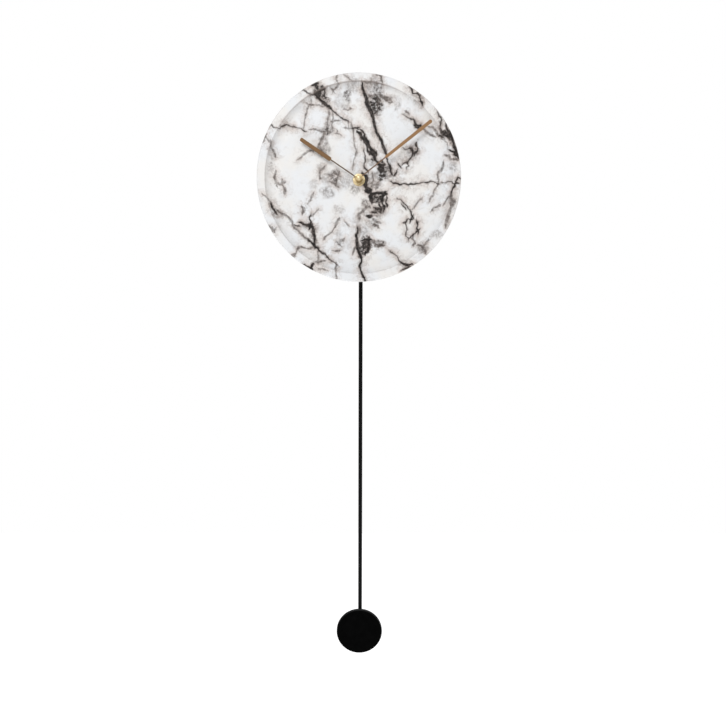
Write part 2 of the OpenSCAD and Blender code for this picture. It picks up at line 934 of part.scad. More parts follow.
module hour_hand() {
    color([0.62, 0.47, 0.34])
        on_clock() {
            hand(hour_len, hour_angle, hour_hand_z, 4.4, hour_tube_r, 1.4, 5, 4.4);
            ring(centre_at, hour_hand_z - 1.5, hour_hand_z + 0.1, 3.4, hour_tube_r);
        }
}

module minute_hand() {
    color([0.62, 0.47, 0.34])
        on_clock() {
            hand(minute_len, minute_angle, minute_hand_z, 3.6, minute_seat_r, 1.4, 3.4, 4.2);
        }
}

module cap_nut() {
    cap_r = 2.9;
    cap_h = 2.3;
    dome = 1.2;
    back = minute_hand_z + hand_t;
    color("gold")
        on_clock()
            translate([0, 0, back])
                difference() {
                    rotate_extrude()
                        polygon(concat(
                            [[0, 0], [cap_r, 0]],
                            arc([cap_r - dome, cap_h - dome], dome, 0, 90, 6),
                            [[0, cap_h]]
                        ));
                    translate([0, 0, -eps])
                        cylinder(r = minute_seat_r, h = 1.5 + eps);
                }
}

dial_dish();
back_frame();
frame_screws();
hanger_plate();
hanger_screws();
wall_pads();
movement_case();
movement_cover();
cover_screws();
centre_bushing();
rubber_washer();
brass_washer();
hex_nut();
centre_wheel();
motion_wheel();
hour_wheel();
setting_knob();
third_wheel();
second_wheel();
step_wheel();
motor_rotor();
motor_stator();
motor_coil();
circuit_board();
quartz_crystal();
battery();
battery_spring();
battery_contact();
drive_coil();
pivot_pin();
pendulum_arm();
arm_magnet();
rod_hook();
pendulum_rod();
bob_disc();
bob_clip();
clip_screws();
hour_hand();
minute_hand();
cap_nut();
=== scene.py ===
import json
from math import asin, atan2, cos, degrees, hypot, pi, radians, sin, tan

import bmesh
import bpy
from mathutils import Matrix, Vector


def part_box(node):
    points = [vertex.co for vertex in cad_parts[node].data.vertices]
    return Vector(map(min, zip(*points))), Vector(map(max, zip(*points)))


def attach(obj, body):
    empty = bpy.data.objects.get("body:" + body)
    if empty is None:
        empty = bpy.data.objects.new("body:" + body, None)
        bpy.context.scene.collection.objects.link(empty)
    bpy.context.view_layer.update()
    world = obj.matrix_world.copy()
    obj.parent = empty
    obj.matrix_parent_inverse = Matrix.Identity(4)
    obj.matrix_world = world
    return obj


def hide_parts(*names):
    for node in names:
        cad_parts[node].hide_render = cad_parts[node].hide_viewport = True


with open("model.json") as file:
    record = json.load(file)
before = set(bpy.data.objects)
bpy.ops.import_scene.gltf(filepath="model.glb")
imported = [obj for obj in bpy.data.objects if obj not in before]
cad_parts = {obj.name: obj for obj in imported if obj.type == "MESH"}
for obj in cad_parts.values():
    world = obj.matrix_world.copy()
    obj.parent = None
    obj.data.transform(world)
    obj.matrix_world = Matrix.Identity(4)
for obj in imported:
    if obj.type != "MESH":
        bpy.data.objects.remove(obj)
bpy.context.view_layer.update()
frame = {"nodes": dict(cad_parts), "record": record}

# The pendulum wall clock's looks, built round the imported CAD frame. Millimetres in the clock's own
# frame are used throughout: x to the right, y up from the dial centre, w out of the wall.
MM = 0.001
TAU = 2 * pi
DIAL_LOW, DIAL_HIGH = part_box("dial_dish")
AXIS_X = (DIAL_LOW.x + DIAL_HIGH.x) / 2
AXIS_Z = (DIAL_LOW.z + DIAL_HIGH.z) / 2
DIAL_R = (DIAL_HIGH.x - DIAL_LOW.x) / 2 / MM
RIM_W = -DIAL_LOW.y / MM
RECORD = frame["record"]
BODY = {node: body for body, nodes in RECORD["behaviour"]["bodies"].items() for node in nodes}

# Dial section, as in the CAD model
RIM_BAND = 9.7
COVE_BAND = 11.5
DISH_DEPTH = 9.0
DISH_WALL = 2.5
SKIRT = 14.0
EDGE_R = 1.6
BOSS_COUNT = 6
BOSS_RING = DIAL_R - RIM_BAND - COVE_BAND - 5

# Hands, in degrees clockwise from twelve, and where their blades begin
HOUR_TURN = -56.2
MINUTE_TURN = 52.1
BLADE_START = 40.5

# What is stacked round the hand shaft: distances from the wall, the hands' thickness and a bore
BUSHING_BACK = 24.9
WASHER_BACK = 31.0
NUT_BACK = 31.6
NUT_FRONT = 34.0
BUSHING_FRONT = 35.0
HOUR_BACK = 36.9
MINUTE_BACK = 40.9
CAP_BACK = 41.6
HAND_THICK = 0.7
BUSHING_BORE_R = 2.65

# Rod, bob and battery cell
ROD_R = 2.5
ROD_W = 10.6
BOB_Y = -582
CELL_START = -23.6
CELL_END = 24.9
CELL_R = 7.25
CELL_Y = -39.5
CELL_W = 18.2

# View, in metres, degrees below level and millimetres of lens, and the grey of the light
CAMERA_PLACE = (0.00495, -0.8573, -0.2319)
CAMERA_PITCH = 6.15
LENS = 33.07
WORLD_LIGHT = 0.38

# Edges of the pieces, in degrees: over these they stay crisp, or are rounded by a bevel
CRISP_ANGLE = 35
BEVEL_ANGLE = 32


def at(x, y, w):
    """A point of the clock's own frame, in millimetres, as a world point in metres."""
    return Vector((AXIS_X + x * MM, -w * MM, AXIS_Z + y * MM))


def new_object(name, data):
    """An object of some data, linked to the scene."""
    thing = bpy.data.objects.new(name, data)
    bpy.context.scene.collection.objects.link(thing)
    return thing


# ---- mesh building

def arc(cx, cy, r, start, end, steps):
    """Points of an arc, angles in degrees."""
    turns = [radians(start + (end - start) * i / steps) for i in range(steps + 1)]
    return [(cx + r * cos(t), cy + r * sin(t)) for t in turns]


def circle(r, steps=64):
    """Closed outline round the origin."""
    return arc(0, 0, r, 0, 360, steps)[:-1]


def rounded(corners, steps=6):
    """Closed outline through (x, y, radius) corners, each turned into an arc of its radius."""
    out = []
    count = len(corners)
    for i, (x, y, r) in enumerate(corners):
        here = Vector((x, y))
        back = Vector(corners[i - 1][:2]) - here
        ahead = Vector(corners[(i + 1) % count][:2]) - here
        half = back.angle(ahead) / 2
        if r <= 0 or half > 1.55:
            out.append((x, y))
            continue
        reach = min(r / tan(half), back.length * 0.49, ahead.length * 0.49)
        r = reach * tan(half)
        back.normalize()
        ahead.normalize()
        middle = here + (back + ahead).normalized() * (r / sin(half))
        first = here + back * reach - middle
        sweep = first.angle_signed(here + ahead * reach - middle)
        for k in range(steps + 1):
            a = -sweep * k / steps
            out.append((middle.x + first.x * cos(a) - first.y * sin(a),
                        middle.y + first.x * sin(a) + first.y * cos(a)))
    return out


def to_object(bm, name, sharp=CRISP_ANGLE):
    """Smooth-shaded object, with the edges over the sharp angle kept crisp."""
    bmesh.ops.remove_doubles(bm, verts=bm.verts, dist=1e-7)
    bmesh.ops.recalc_face_normals(bm, faces=bm.faces)
    mesh = bpy.data.meshes.new(name)
    bm.to_mesh(mesh)
    bm.free()
    mesh.shade_smooth()
    mesh.set_sharp_from_angle(angle=radians(sharp))
    return new_object(name, mesh)


def bevel_sharp(bm, width):
    """Rounds every edge whose faces meet at more than the bevel angle; width is in millimetres."""
    if width <= 0:
        return
    edges = [e for e in bm.edges
             if len(e.link_faces) == 2 and e.calc_face_angle(0) > radians(BEVEL_ANGLE)]
    bmesh.ops.bevel(bm, geom=edges, offset=width * MM, offset_type="OFFSET", segments=2,
                    profile=0.5, affect="EDGES", clamp_overlap=True, harden_normals=False)


def lathe(name, profile, x=0.0, y=0.0, axis="w", steps=128, sharp=CRISP_ANGLE):
    """Turns a closed (radius, height) profile round an axis. x and y are where the axis stands in
    the plane across it, and the height runs along it."""
    bm = bmesh.new()
    rings = []
    for i in range(steps):
        c, s = cos(TAU * i / steps), sin(TAU * i / steps)
        ring = []
        for r, h in profile:
            a, b = x + r * c, y + r * s
            place = {"w": (a, b, h), "y": (a, h, b), "x": (h, a, b)}[axis]
            ring.append(bm.verts.new(at(*place)))
        rings.append(ring)
    count = len(profile)
    for i in range(steps):
        here, after = rings[i], rings[(i + 1) % steps]
        for k in range(count):
            k2 = (k + 1) % count
            on_axis = profile[k][0] < 1e-6, profile[k2][0] < 1e-6
            if all(on_axis):
                continue
            if on_axis[0]:
                bm.faces.new((here[k], after[k2], here[k2]))
            elif on_axis[1]:
                bm.faces.new((here[k], after[k], here[k2]))
            else:
                bm.faces.new((here[k], after[k], after[k2], here[k2]))
    return to_object(bm, name, sharp)


def slab(name, outlines, back, front, bevel, turn=0.0):
    """Flat piece between two distances from the wall: the first outline less the others, turned
    clockwise by an angle."""
    bm = bmesh.new()
    c, s = cos(radians(-turn)), sin(radians(-turn))
    edges = []
    for outline in outlines:
        loop = [bm.verts.new(at(x * c - y * s, x * s + y * c, back)) for x, y in outline]
        edges += [bm.edges.new((loop[i - 1], loop[i])) for i in range(len(loop))]
    fill = bmesh.ops.triangle_fill(bm, edges=edges, use_beauty=True, use_dissolve=False)
    faces = [f for f in fill["geom"] if isinstance(f, bmesh.types.BMFace)]
    bmesh.ops.recalc_face_normals(bm, faces=faces)
    grown = bmesh.ops.extrude_face_region(bm, geom=faces)
    top = [v for v in grown["geom"] if isinstance(v, bmesh.types.BMVert)]
    bmesh.ops.translate(bm, verts=top, vec=Vector((0, -(front - back) * MM, 0)))
    bmesh.ops.recalc_face_normals(bm, faces=bm.faces)
    bmesh.ops.dissolve_limit(bm, angle_limit=radians(1), verts=bm.verts, edges=bm.edges)
    bevel_sharp(bm, bevel)
    return to_object(bm, name)


def settle(thing):
    """Applies the modifiers of a piece to its mesh."""
    done = thing.evaluated_get(bpy.context.evaluated_depsgraph_get())
    mesh = bpy.data.meshes.new_from_object(done)
    thing.modifiers.clear()
    old = thing.data
    thing.data = mesh
    bpy.data.meshes.remove(old)
    mesh.name = thing.name


def combine(target, tool, operation):
    """Boolean of two objects kept in the first; the tool is thrown away."""
    cut = target.modifiers.new("cut", "BOOLEAN")
    cut.object = tool
    cut.operation = operation
    cut.solver = "EXACT"
    settle(target)
    bpy.data.objects.remove(tool)
    target.data.shade_smooth()
    target.data.set_sharp_from_angle(angle=radians(CRISP_ANGLE))


def dress(thing, node, material):
    """Evens a piece's normals, gives it its material and lets it stand for its CAD node."""
    even = thing.modifiers.new("even", "WEIGHTED_NORMAL")
    even.keep_sharp = True
    even.weight = 90
    settle(thing)
    thing.data.materials.clear()
    thing.data.materials.append(material)
    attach(thing, BODY[node])
    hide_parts(node)


def paint(node, material):
    """Gives a CAD node that is shown as it is its material."""
    thing = frame["nodes"][node]
    if not thing.data.materials:
        thing.data.materials.append(material)
    for held in thing.material_slots:
        held.link = "OBJECT"
        held.material = material


def scaled(colour, gain):
    return tuple(gain * c for c in colour)


# ---- node materials

class Shade:
    """Builds one node material around a principled shader."""

    def __init__(self, name, **sockets):
        self.mat = bpy.data.materials.new(name)
        self.mat.use_nodes = True
        self.tree = self.mat.node_tree
        self.shader = self.tree.nodes["Principled BSDF"]
        for socket, value in sockets.items():
            self.set(socket.replace("_", " "), value)
        self.place = self.node("TexCoord").outputs["Object"]
        self.mm = self.vector("MULTIPLY", self.place, (1 / MM, 1 / MM, 1 / MM))

    def feed(self, target, value):
        """Links or sets an input; a colour may come as three numbers."""
        if isinstance(value, bpy.types.NodeSocket):
            self.tree.links.new(value, target)
        elif target.type == "RGBA" and len(value) == 3:
            target.default_value = (*value, 1)
        else:
            target.default_value = value

    def set(self, socket, value):
        self.feed(self.shader.inputs[socket], value)

    def node(self, kind, inputs=(), **settings):
        """Adds a node, with its settings and the links or values of its inputs."""
        made = self.tree.nodes.new("ShaderNode" + kind)
        for key, value in settings.items():
            setattr(made, key, value)
        for key, value in dict(inputs).items():
            self.feed(made.inputs[key], value)
        return made

    def math(self, operation, *values, clamp=False):
        made = self.node("Math", dict(enumerate(values)), operation=operation, use_clamp=clamp)
        return made.outputs[0]

    def times(self, a, b):
        return self.math("MULTIPLY", a, b)

    def vector(self, operation, *values, out=0):
        made = self.node("VectorMath", dict(enumerate(values)), operation=operation)
        return made.outputs[out]

    def stretched(self, *gains):
        """The place in millimetres, multiplied along each axis."""
        return self.vector("MULTIPLY", self.mm, gains)

    def noise(self, where, scale, detail, rough=0.5, colour=False):
        made = self.node("TexNoise", {"Vector": where, "Scale": scale, "Detail": detail,
                                      "Roughness": rough})
        return made.outputs["Color" if colour else "Fac"]

    def step(self, value, low, high, a=0, b=1, smooth=True):
        """Runs from a to b as the value runs from low to high."""
        made = self.node("MapRange", {"Value": value, "From Min": low, "From Max": high,
                                      "To Min": a, "To Max": b},
                         interpolation_type="SMOOTHSTEP" if smooth else "LINEAR")
        return made.outputs[0]

    def mix(self, factor, a, b):
        made = self.node("Mix", {0: factor}, data_type="RGBA")
        self.feed(made.inputs[6], a)
        self.feed(made.inputs[7], b)
        return made.outputs[2]

    def blend(self, value, low, high, a, b, most=1):
        """Mixes from a towards b as the value runs from low to high."""
        return self.mix(self.step(value, low, high, 0, most), a, b)

    def split(self, vector):
        return self.node("SeparateXYZ", {"Vector": vector}).outputs

    def from_axis(self, y=0):
        """Distance in millimetres from an axis that stands out of the wall at a height."""
        offset = self.vector("SUBTRACT", self.place, (AXIS_X, 0, AXIS_Z + y * MM))
        return self.vector("LENGTH", self.vector("MULTIPLY", offset, (1 / MM, 0, 1 / MM)), out=1)

    def bump(self, height, distance, strength=1):
        made = self.node("Bump", {"Height": height, "Distance": distance, "Strength": strength})
        self.set("Normal", made.outputs[0])

    def surface(self, colour, grain, smooth, rough, bump_mm, strength=1):
        """Sets the colour, and lets roughness and bump follow the grain. Gives the material."""
        self.set("Base Color", colour)
        self.set("Roughness", self.step(grain, 0.3, 0.7, smooth, rough))
        self.bump(grain, bump_mm * MM, strength)
        return self.mat


# ---- marble print

# Each line is a stretch of a vein: x, y and half width at points along it, in millimetres.
BLACK_VEINS = """
4.5 109 1.4, 5.5 105 1.5, 8 97 2, 10 89 2.4, 14 80 2.6, 17 72 2, 18.5 65 1.8, 20 60 1.6, 22.5 54 1.6
22.5 54 1.3, 26 48 1.6, 29 41 1.9, 32 33 1.6, 33.5 26 .9, 35 21 1, 38 14 1.6, 38.5 9 1, 41 5.5 .6, 43 5 .3
-65 102.5 .9, -60 99 .7, -56 97 .8, -51 97.5 1, -48 95 1.4, -44 91.5 1.6, -40 88.5 1.8, -37 86 2
-37 86 1.8, -33 82 .9, -30 79.5 .7, -25 76 .7, -20 72 .8, -16 69.5 .6, -13 68 .4
-55 107 .8, -51 109 1.8, -49.5 106 2.2, -49 103.5 1.5
-52 99.5 .8, -46 102 1, -41 104.5 .8
-1 60 .6, 3 59 .9, 6 54 1.2, 7 49 1.4, 10 45 1.8, 13 39 1.8, 16 35 2.2, 19 31 3.4, 19 27 2, 19.5 23 1.2
-2 57 1.2, 1 54.5 2, 4 49 1.6, 7 46 1.6, 9 42 1.4, 11 34 1.2, 15 32 1.6
-9 60.5 .6, -3 61 1, 1 61.5 .8
19.5 23 1.2, 22.5 21 1.4, 24 18 2, 27 16 2, 30 18 1
6 35 .6, 7 29 .6, 7.5 23 1.2, 6 18 .8, 6.5 15 .9, 9.5 11 1, 10.5 9 .8
5 7 1.4, 8 5 2, 9.5 2 2.2, 9 -2 2.2, 8 -5 2.6, 9 -8 2.4, 12 -11 2.6, 14 -13 2
12 -13 2, 14 -16 2.6, 17 -17 2.6, 22 -15 1.8, 26 -15 1.8, 30 -15 1.6, 33 -14 .8
15 -17 2.6, 15 -21 2.8, 15 -25 2, 16 -28 .8
32 -15 1, 30 -18 2.6, 27 -20 2.6, 28 -24 1.8, 29 -28 1.2, 30.5 -32 1.8, 30 -36 1.4
19 -33 1.2, 22.5 -34 1.8
25 -31 1.2, 27 -34 1.2, 26 -37 1
18 -39 1.2, 22 -39.5 1
9 -43 1, 13 -43.5 2, 17 -43 1
33 -22 .9, 33 -26 .8, 33.5 -29 1.4
38 -2 .6, 41 -4 1, 45 -4 1.1, 51 -6 1.1, 55 -5 .8, 59 -6 .9, 63 -5 1, 67 -5 .9, 72 -4 .6
72 -4 .6, 77 -2.5 .5, 83 -3 .8, 88 -2.5 .5, 92 -3.5 .6, 96 -4.5 .8, 98 -4.5 .2
101 -3 .4, 106 -2.5 .5, 110 -2 .4, 112 -4 .5, 114 -6 .9, 116 -5 1, 117.5 -1 .9, 118 1 .7, 120 .5 .8
115 -7 1.2, 113.5 -10 1.6, 112 -13 1, 110.5 -18 .9
-105 62.5 .7, -101 60 .6, -97 58.5 .4, -93 61 .5, -89 62.5 .6, -85 64 .6, -80 62 .6, -76 62 .6
-76 62 .6, -73 61 .3, -69 60.5 .4, -66 58 .8
-106 -29 1, -104.5 -33 1.3, -103 -36 1.6, -101 -40 1.4, -100 -41 .6
-62 -71.5 1, -59 -74 1.3, -56 -77.5 1.7, -53 -80.5 2, -51 -81 1.4, -48 -84 1, -45 -87 1
-45 -87 .8, -42 -88.5 .6, -38 -93 .8, -34 -96.5 .6, -30 -98.5 .6, -28 -101 .7
-72 -51 1.1, -68 -53 1.4, -64 -54 1.5, -60 -54.5 1.9, -58 -52 1.7, -58.5 -49 1.2, -60 -45 1, -59 -42 .8
-58 -55 2.4, -55.5 -60 1.8, -54.5 -66 1.9, -54.5 -72 1.8, -55 -77 1.9
-76 -54.5 1.1, -73 -55.5 .7
-67 -102 .8, -63 -104 .9, -59 -106 1.6, -57 -103 1.4, -55 -100.5 .9
-2 -57 .9, -1.5 -62 1.2, -3.5 -67 1.6, -2.5 -73 1.9, -2 -79 2, -.5 -85 1.8, 1 -90 1.5, 2.5 -96 1.3
2.5 -96 1.3, 1.5 -103 1.6, 2 -108 1.2, 4 -113 1.5, 5.5 -117 1.3, 7 -120.5 1.3
3 -73 1, 8 -72 1.4, 12 -72 1.6, 12 -78 1.6, 11 -84 2, 8 -88 1.5
52 -28 .5, 55 -32 .7, 56.5 -34 .6
46 -22 .4, 50 -24 .5, 54 -27 .6, 57.5 -30.5 .7, 61 -34 .7, 63 -38 .7, 64.5 -44 1, 63 -48 1
63 -48 1, 59 -47 .7, 57.5 -50 .9, 58 -54 .6, 59 -58 .5, 58 -63 .7, 57.5 -67 .6, 60 -69.5 .6
62 -69.5 .7, 66 -66.5 .9, 69 -63 .9, 71.5 -60.5 1.2, 70 -58 .7, 71 -54 .8, 71 -50 .9, 70 -47.5 .4
38 -85.5 .6, 43 -88.5 .7, 46 -91 .4, 49 -96 .7, 52 -100 1.4, 56 -102.5 1.8, 60 -103 1.3, 65 -101.5 .6
54 -108 .8, 60 -105 .8
103 64 .7, 104 60 1, 106 56 1.7, 108 51 2.2, 110.5 47 1.5, 112.5 43 1.4, 114 38 1.4
114 38 1.6, 115.5 33 1.8, 117 28 1.8, 118.5 24 1.2
97 59 .6, 99 55 .8, 101 51.5 1.2, 104 50 2, 107 48 1.6
101 54 2, 103 52 2.2
97 52 1, 98 51 1.2
108 34 .8, 110 32.5 1.2, 113 31 1.6, 115 28 1.6
93 77 .4, 95 73 .7, 97.5 70.5 1, 96.5 66 .7, 96.5 61 .6
60 106 .6, 62.5 103 1, 64.5 98 .9, 69 98.5 1.4, 72 96 .9, 73.5 91 1, 74.5 88.5 1.7
62 72 .7, 66 70 1, 68 66 1.7, 71 63 1.8, 74 64 1.7, 76 61 1.1
43 5 .8, 45 9 .9
48 19 .7, 49.5 16.5 1
53 18.5 .6, 57 20.5 .7, 60 23 .8, 64 26.5 .8, 66 31 1.2, 64.5 35 1.6, 62 38 1.2, 57 36.5 .5, 53 38 .3
69 40 1.2, 71 37 1, 69 32 1, 67 28 .7
58 19 .6, 60 16.5 .6, 57 14 .4
"""

GREY_VEINS = """
13 98 .8, 18 99 1.2, 22 99 1.4, 24 93 1, 22 86 1, 22 80 1
24 99 1, 29 97 2, 34 94 2.6, 38 91.5 2.2, 40 91 .5
8 111.5 .6, 18 111 .6, 28 109 .5
21 120 .8, 26 118 1.2, 25.5 114.5 1.8, 27.5 111.5 1
-9.5 67 .5, -8 62 1, -7 58 .9, -6 52 .6, -5.8 45 .6, -5 40 .5, -3 33 .8
-3 33 .8, -4 29 .7, -6 24 .5, -6.5 17 .5, -8 12 .4
-26 118 1.2, -26 112 1, -25 109 1, -28 105 1, -31 103 .8, -34 105 .6
-16 119 .8, -10 114 .7
-30 69 1, -24 69.5 .8
-37 85 .6, -36 78 .7, -37.5 70 .6, -38.5 62 .9
-33 83 .5, -31.5 76 .7, -31 68 .6, -31.5 62 .6, -26 58 .5
-28 54 .7, -24 54 .8, -21 52.5 .5
-13 67 .5, -12 60 .4, -17 61 .5
-18 82 .8, -13 82 1, -10 83.5 .8
-59 58.5 .6, -55 59.3 .8, -51 59 .8, -48 58 .9, -43 56.5 1.2, -39 57 1.2
-39 57 .9, -38.5 61 .9, -36 62.5 .7
-42 52 1.6, -45 47 1.4, -48 43 1.4, -49 38 1.2
-46 36 2, -44 33 1.5
-57 93 .5, -57.5 88.5 .8
-60 86 .8, -62 81 1, -64 74 1.2, -65.5 68 .8, -66 61 .6
-62 88.5 .5, -57 88 1.2, -50 87.5 .8, -45 86 .8, -41 86 .5
-116 -18 .5, -112 -21 .7, -109 -25 .8, -106 -29 .9
-99 -36 1, -96 -39 1.2, -92 -41 1.4, -88 -43 1.2, -84 -46.5 1.4, -81 -50 1.6, -80.5 -54 1.2
-80.5 -54 1.2, -78.5 -58 1.4, -74 -60 1, -71 -64 1.1, -67 -68.5 1.2, -62 -71.5 1.4
-28 -101 1.2, -28 -107 1.2, -28 -112 .6, -28 -119 .8
-57 -42 1, -53 -38.5 .8, -50 -35 .7
-70 -31 1, -67 -36 2.4, -69 -41 1
-58 -82 1, -62 -82.5 .9, -67 -81 1.2, -72 -81 1.6, -75 -85 1.4, -77 -89 1.2, -79.5 -91.5 1.8
-108 -56 1, -105 -58 1.2, -104 -61 1.4, -101 -59 1
-49 -97.5 1.4, -45 -97 1.4, -42 -97 1
-48 -107 .8, -44 -107 .8, -41 -108.5 .8
-49.5 -84 1, -49.5 -90 1, -50 -99 1
-24 -46 .8, -27 -51 1.2, -29 -56 1.2, -31 -59 .8, -33 -62 .8, -38 -66 .9, -42 -69.5 1
-16 -50 .8, -14 -53 1
14 -74 1.2, 18 -74 2, 20 -77 1.5, 23 -78.5 2.6, 28 -78 1.6, 32 -78.5 .6
-6 -84 1.6, -8 -89 .8
-18 -70 .8, -22 -73 1.6, -25 -76 1.2, -23 -78 1.2
-31 -85 1, -28 -85.5 1.4, -23 -84.5 .8
19 -54 1.6, 22 -54 2, 23 -57 .8
20 -48 1.6, 25 -51 1.2
0 -43 1.4, .5 -47 1
0 -41 1, 4 -38 1.6, 8 -34 1.6, 9.5 -30 1
-34 -2 1, -30 -4 1.2, -27 -7 1.4
-34 6 1.2, -30 9 1.6, -27 7 1.2, -25 5 1, -27 -2 1
-47.2 1 .7, -47.3 7 1.2, -46.5 11 1, -44 13.5 1.2, -42 15 1
-56 34 1, -59 34.5 1, -64 31 1, -69 27.5 .9, -73 24.5 .6
-55 -16 .8, -57.5 -20 1, -59 -24 .7, -61 -26.5 .7
-105 43 .8, -105 37 1, -103 34 1.4, -101 29 1.4
-101 10 .8, -102 4 1.6, -101 0 1, -99.5 -4 1.2, -95 -4.5 1.4, -92.5 -3 1.6, -91 -8 1.2, -90 -13 2
-115 42 .8, -111 49 1, -107 43 .8
65 -35 .5, 69 -30 .7, 73 -25.5 .8, 76 -22.5 .6
66 -70 1, 68 -73 1, 68 -76.5 1.8, 66.5 -78 1
73 -77.5 1, 77 -79.5 1.6, 80 -77 1, 83 -73 .9, 84 -71 .6
77.5 -81 1.6, 79 -84.5 2.8, 80.5 -88 1.4
87 -22.5 1, 90 -18 .8, 92 -12 .8, 94.5 -8 .8
96 -4 .8, 96 3 .9, 95.5 6 1, 98 10 1.6, 100.5 13 1.6, 102 20 1.2
88 -37 .4, 91 -34 1, 96 -31 1.2, 99 -29 .8
110.5 -18 1.2, 112 -23 2.4, 113 -28 3, 110 -36 1.6, 108 -42 1.8, 106 -48 1.8, 105 -53 1.2, 105 -57 .8
104 -27 1.2, 107 -22 1.2
84 62.5 .8, 88 61 .9, 92 57 1, 95 52 1, 98 49 .8, 101 46 .6
96 59 .7, 98 55 .7, 100 50 .6, 103 45 .5, 106 38 .4
107 27 1.4, 110 23 1, 114 23 1.4
55 80.5 .8, 58 78.5 1.2
53 77 .7, 58 74 1, 61 72 .6
77 60 1.2, 81 56 1.4, 85 53 1.2, 89 52.5 1.4
16 6 .8, 17 0 .8, 16 -4 .6
24 -3 1.2, 22 -7 1.4, 21 -10 .8
"""

# Clouds of smoke in the marble: x, y, the half widths of each and how dark it is.
CLOUDS = """
20 87 9.5 15 .85, 22 103 9 7 .5, -46 100 8 9 .85, -41 93 5 7 .65, 25 18 7 5 .7, 29 10 7.5 8 .95
8 -2 5 8 .85, 2 55 3.5 4 .5, 6 48 4 5 .7, 11 41 4 5 .75, 16 34 4.5 5 .85, 18 27 3.5 4 .75
23 -22 10 8 .85, 23 -38 11 8 .5, 12 -31 5 5 .5, 7 -78 9 11 .95, 24 -76 8 5 .6, 4 -61 8 8 .4
14 -52 12 7 .3, -2 -47 8 7 .22, 65 32 9 9 .42, -104 29 5 10 .25, -98 -41 8 7 .32, -64 -53 11 7 .34
-55 -68 5 12 .5, -52 -80 7 6 .4, 110 50 7 12 .6, 115 30 5 10 .6, 71 64 8 6 .2, 18 112 8 8 .35
17 58 5 10 .2, 34 9 9 9 .45, 18 2 9 10 .35, 68 -58 7 12 .1, 78 -82 8 8 .4, 56 -101 9 6 .4
-29 5 9 10 .5, -38 3 9 9 .3, -38 -14 9 8 .38, -18 -2 13 12 .28, -20 -78 12 10 .15, 112 -28 6 14 .25
106 -48 5 12 .3, 72 94 7 8 .3, 98 66 5 8 .25, 114 14 5 9 .35, -13 97 5 13 .5, -15 84 8 4 .35
26 4 8 7 .65, 15 -6 7 6 .5, 35 95 9 5 .45, -41 34 9 8 .45, 15 22 6 8 .35, -45 15 7 8 .25
-7 109 11 9 .3, -5 -9 8 9 .42, 45 94 6 5 .22, 3 -86 6 9 .8
8 104 8 7 .35, 24 -5 7 5 .3, -25 -64 8 6 .25, 5 -36 7 6 .25, -55 -5 7 6 .2, -105 15 5 6 .3
95 -65 6 7 .3, -23 92 8 10 .22, -38 57 9 7 .55, -43 45 6 8 .4, -36 70 5 15 .3, 8 -27 7 6 .5
56 24 8 6 .3, 45 87 6 6 .3, -25 -35 9 6 .25, 15 96 8 6 .4, 44 -5 6 5 .2
"""


def rows(text):
    """Lines of comma-separated groups of numbers."""
    return [[tuple(map(float, group.split())) for group in line.split(",")]
            for line in text.strip().splitlines()]


def climbing_runs(points):
    """Cuts a vein where it turns back on itself, so that each run climbs along its own chord."""
    runs = []
    start = 0
    while start < len(points) - 1:
        end = start + 1
        for trial in range(start + 2, len(points) + 1):
            part = [Vector(p[:2]) for p in points[start:trial]]
            chord = (part[-1] - part[0]).normalized()
            if any((b - a).normalized().dot(chord) < 0.62 for a, b in zip(part, part[1:])):
                break
            end = trial - 1
        runs.append(points[start:end + 1])
        start = end
    return runs


def curve_through(shade, value, knots):
    """A curve node through (position, height) knots, both between 0 and 1."""
    made = shade.node("FloatCurve", {"Value": value})
    mapping = made.mapping
    mapping.extend = "HORIZONTAL"
    curve = mapping.curves[0]
    while len(curve.points) < len(knots):
        curve.points.new(0.5, 0.5)
    for i, (point, knot) in enumerate(zip(curve.points, knots)):
        point.location = knot
        point.handle_type = "VECTOR" if i in (0, len(knots) - 1) else "AUTO_CLAMPED"
    mapping.update()
    return made.outputs[0]


# How far a vein's field reaches past its ends and edges, and its widest half width
REACH = 12
WIDEST = 6


def affine(shade, where, way, start):
    """Distance along a direction from a start; the place's third coordinate is always 1."""
    return shade.vector("DOT_PRODUCT", where, (way.x, way.y, -way.dot(start)), out=1)


def vein_run(shade, where, run):
    """Distance in millimetres from the edge of one run of a vein, less than 0 inside it."""
    first, last = Vector(run[0][:2]), Vector(run[-1][:2])
    chord = last - first
    length = chord.length
    along = chord / length
    across = Vector((-along.y, along.x))
    span = length + 2 * REACH
    offsets = [(Vector(p[:2]) - first).dot(across) for p in run]
    breadth = 2 * max(abs(o) for o in offsets) + 8
    middle = []
    width = [(0, 0)]
    for i, (x, y, half) in enumerate(run):
        t = ((Vector((x, y)) - first).dot(along) + REACH) / span
        before, after = Vector(run[max(i - 1, 0)][:2]), Vector(run[min(i + 1, len(run) - 1)][:2])
        slant = max((after - before).normalized().dot(along), 0.6)
        middle.append((t, 0.5 + offsets[i] / breadth))
        width.append((t, (half / slant + REACH) / (REACH + WIDEST)))
    width.append((1, 0))
    middle = [(0, middle[0][1])] + middle + [(1, middle[-1][1])]
    start = first - along * REACH
    t = affine(shade, where, along / span, start)
    side = affine(shade, where, across / breadth, start - across * breadth / 2)
    line = curve_through(shade, t, middle)
    half = curve_through(shade, t, width)
    away = shade.math("ABSOLUTE", shade.math("SUBTRACT", line, side))
    away = shade.math("MULTIPLY_ADD", away, breadth, REACH)
    return shade.math("MULTIPLY_ADD", half, -(REACH + WIDEST), away)


def nearest_vein(shade, where, text):
    """Distance from the nearest vein of a table."""
    nearest = None
    for points in rows(text):
        for run in climbing_runs(points):
            away = vein_run(shade, where, run)
            nearest = away if nearest is None else shade.math("MINIMUM", nearest, away)
    return nearest


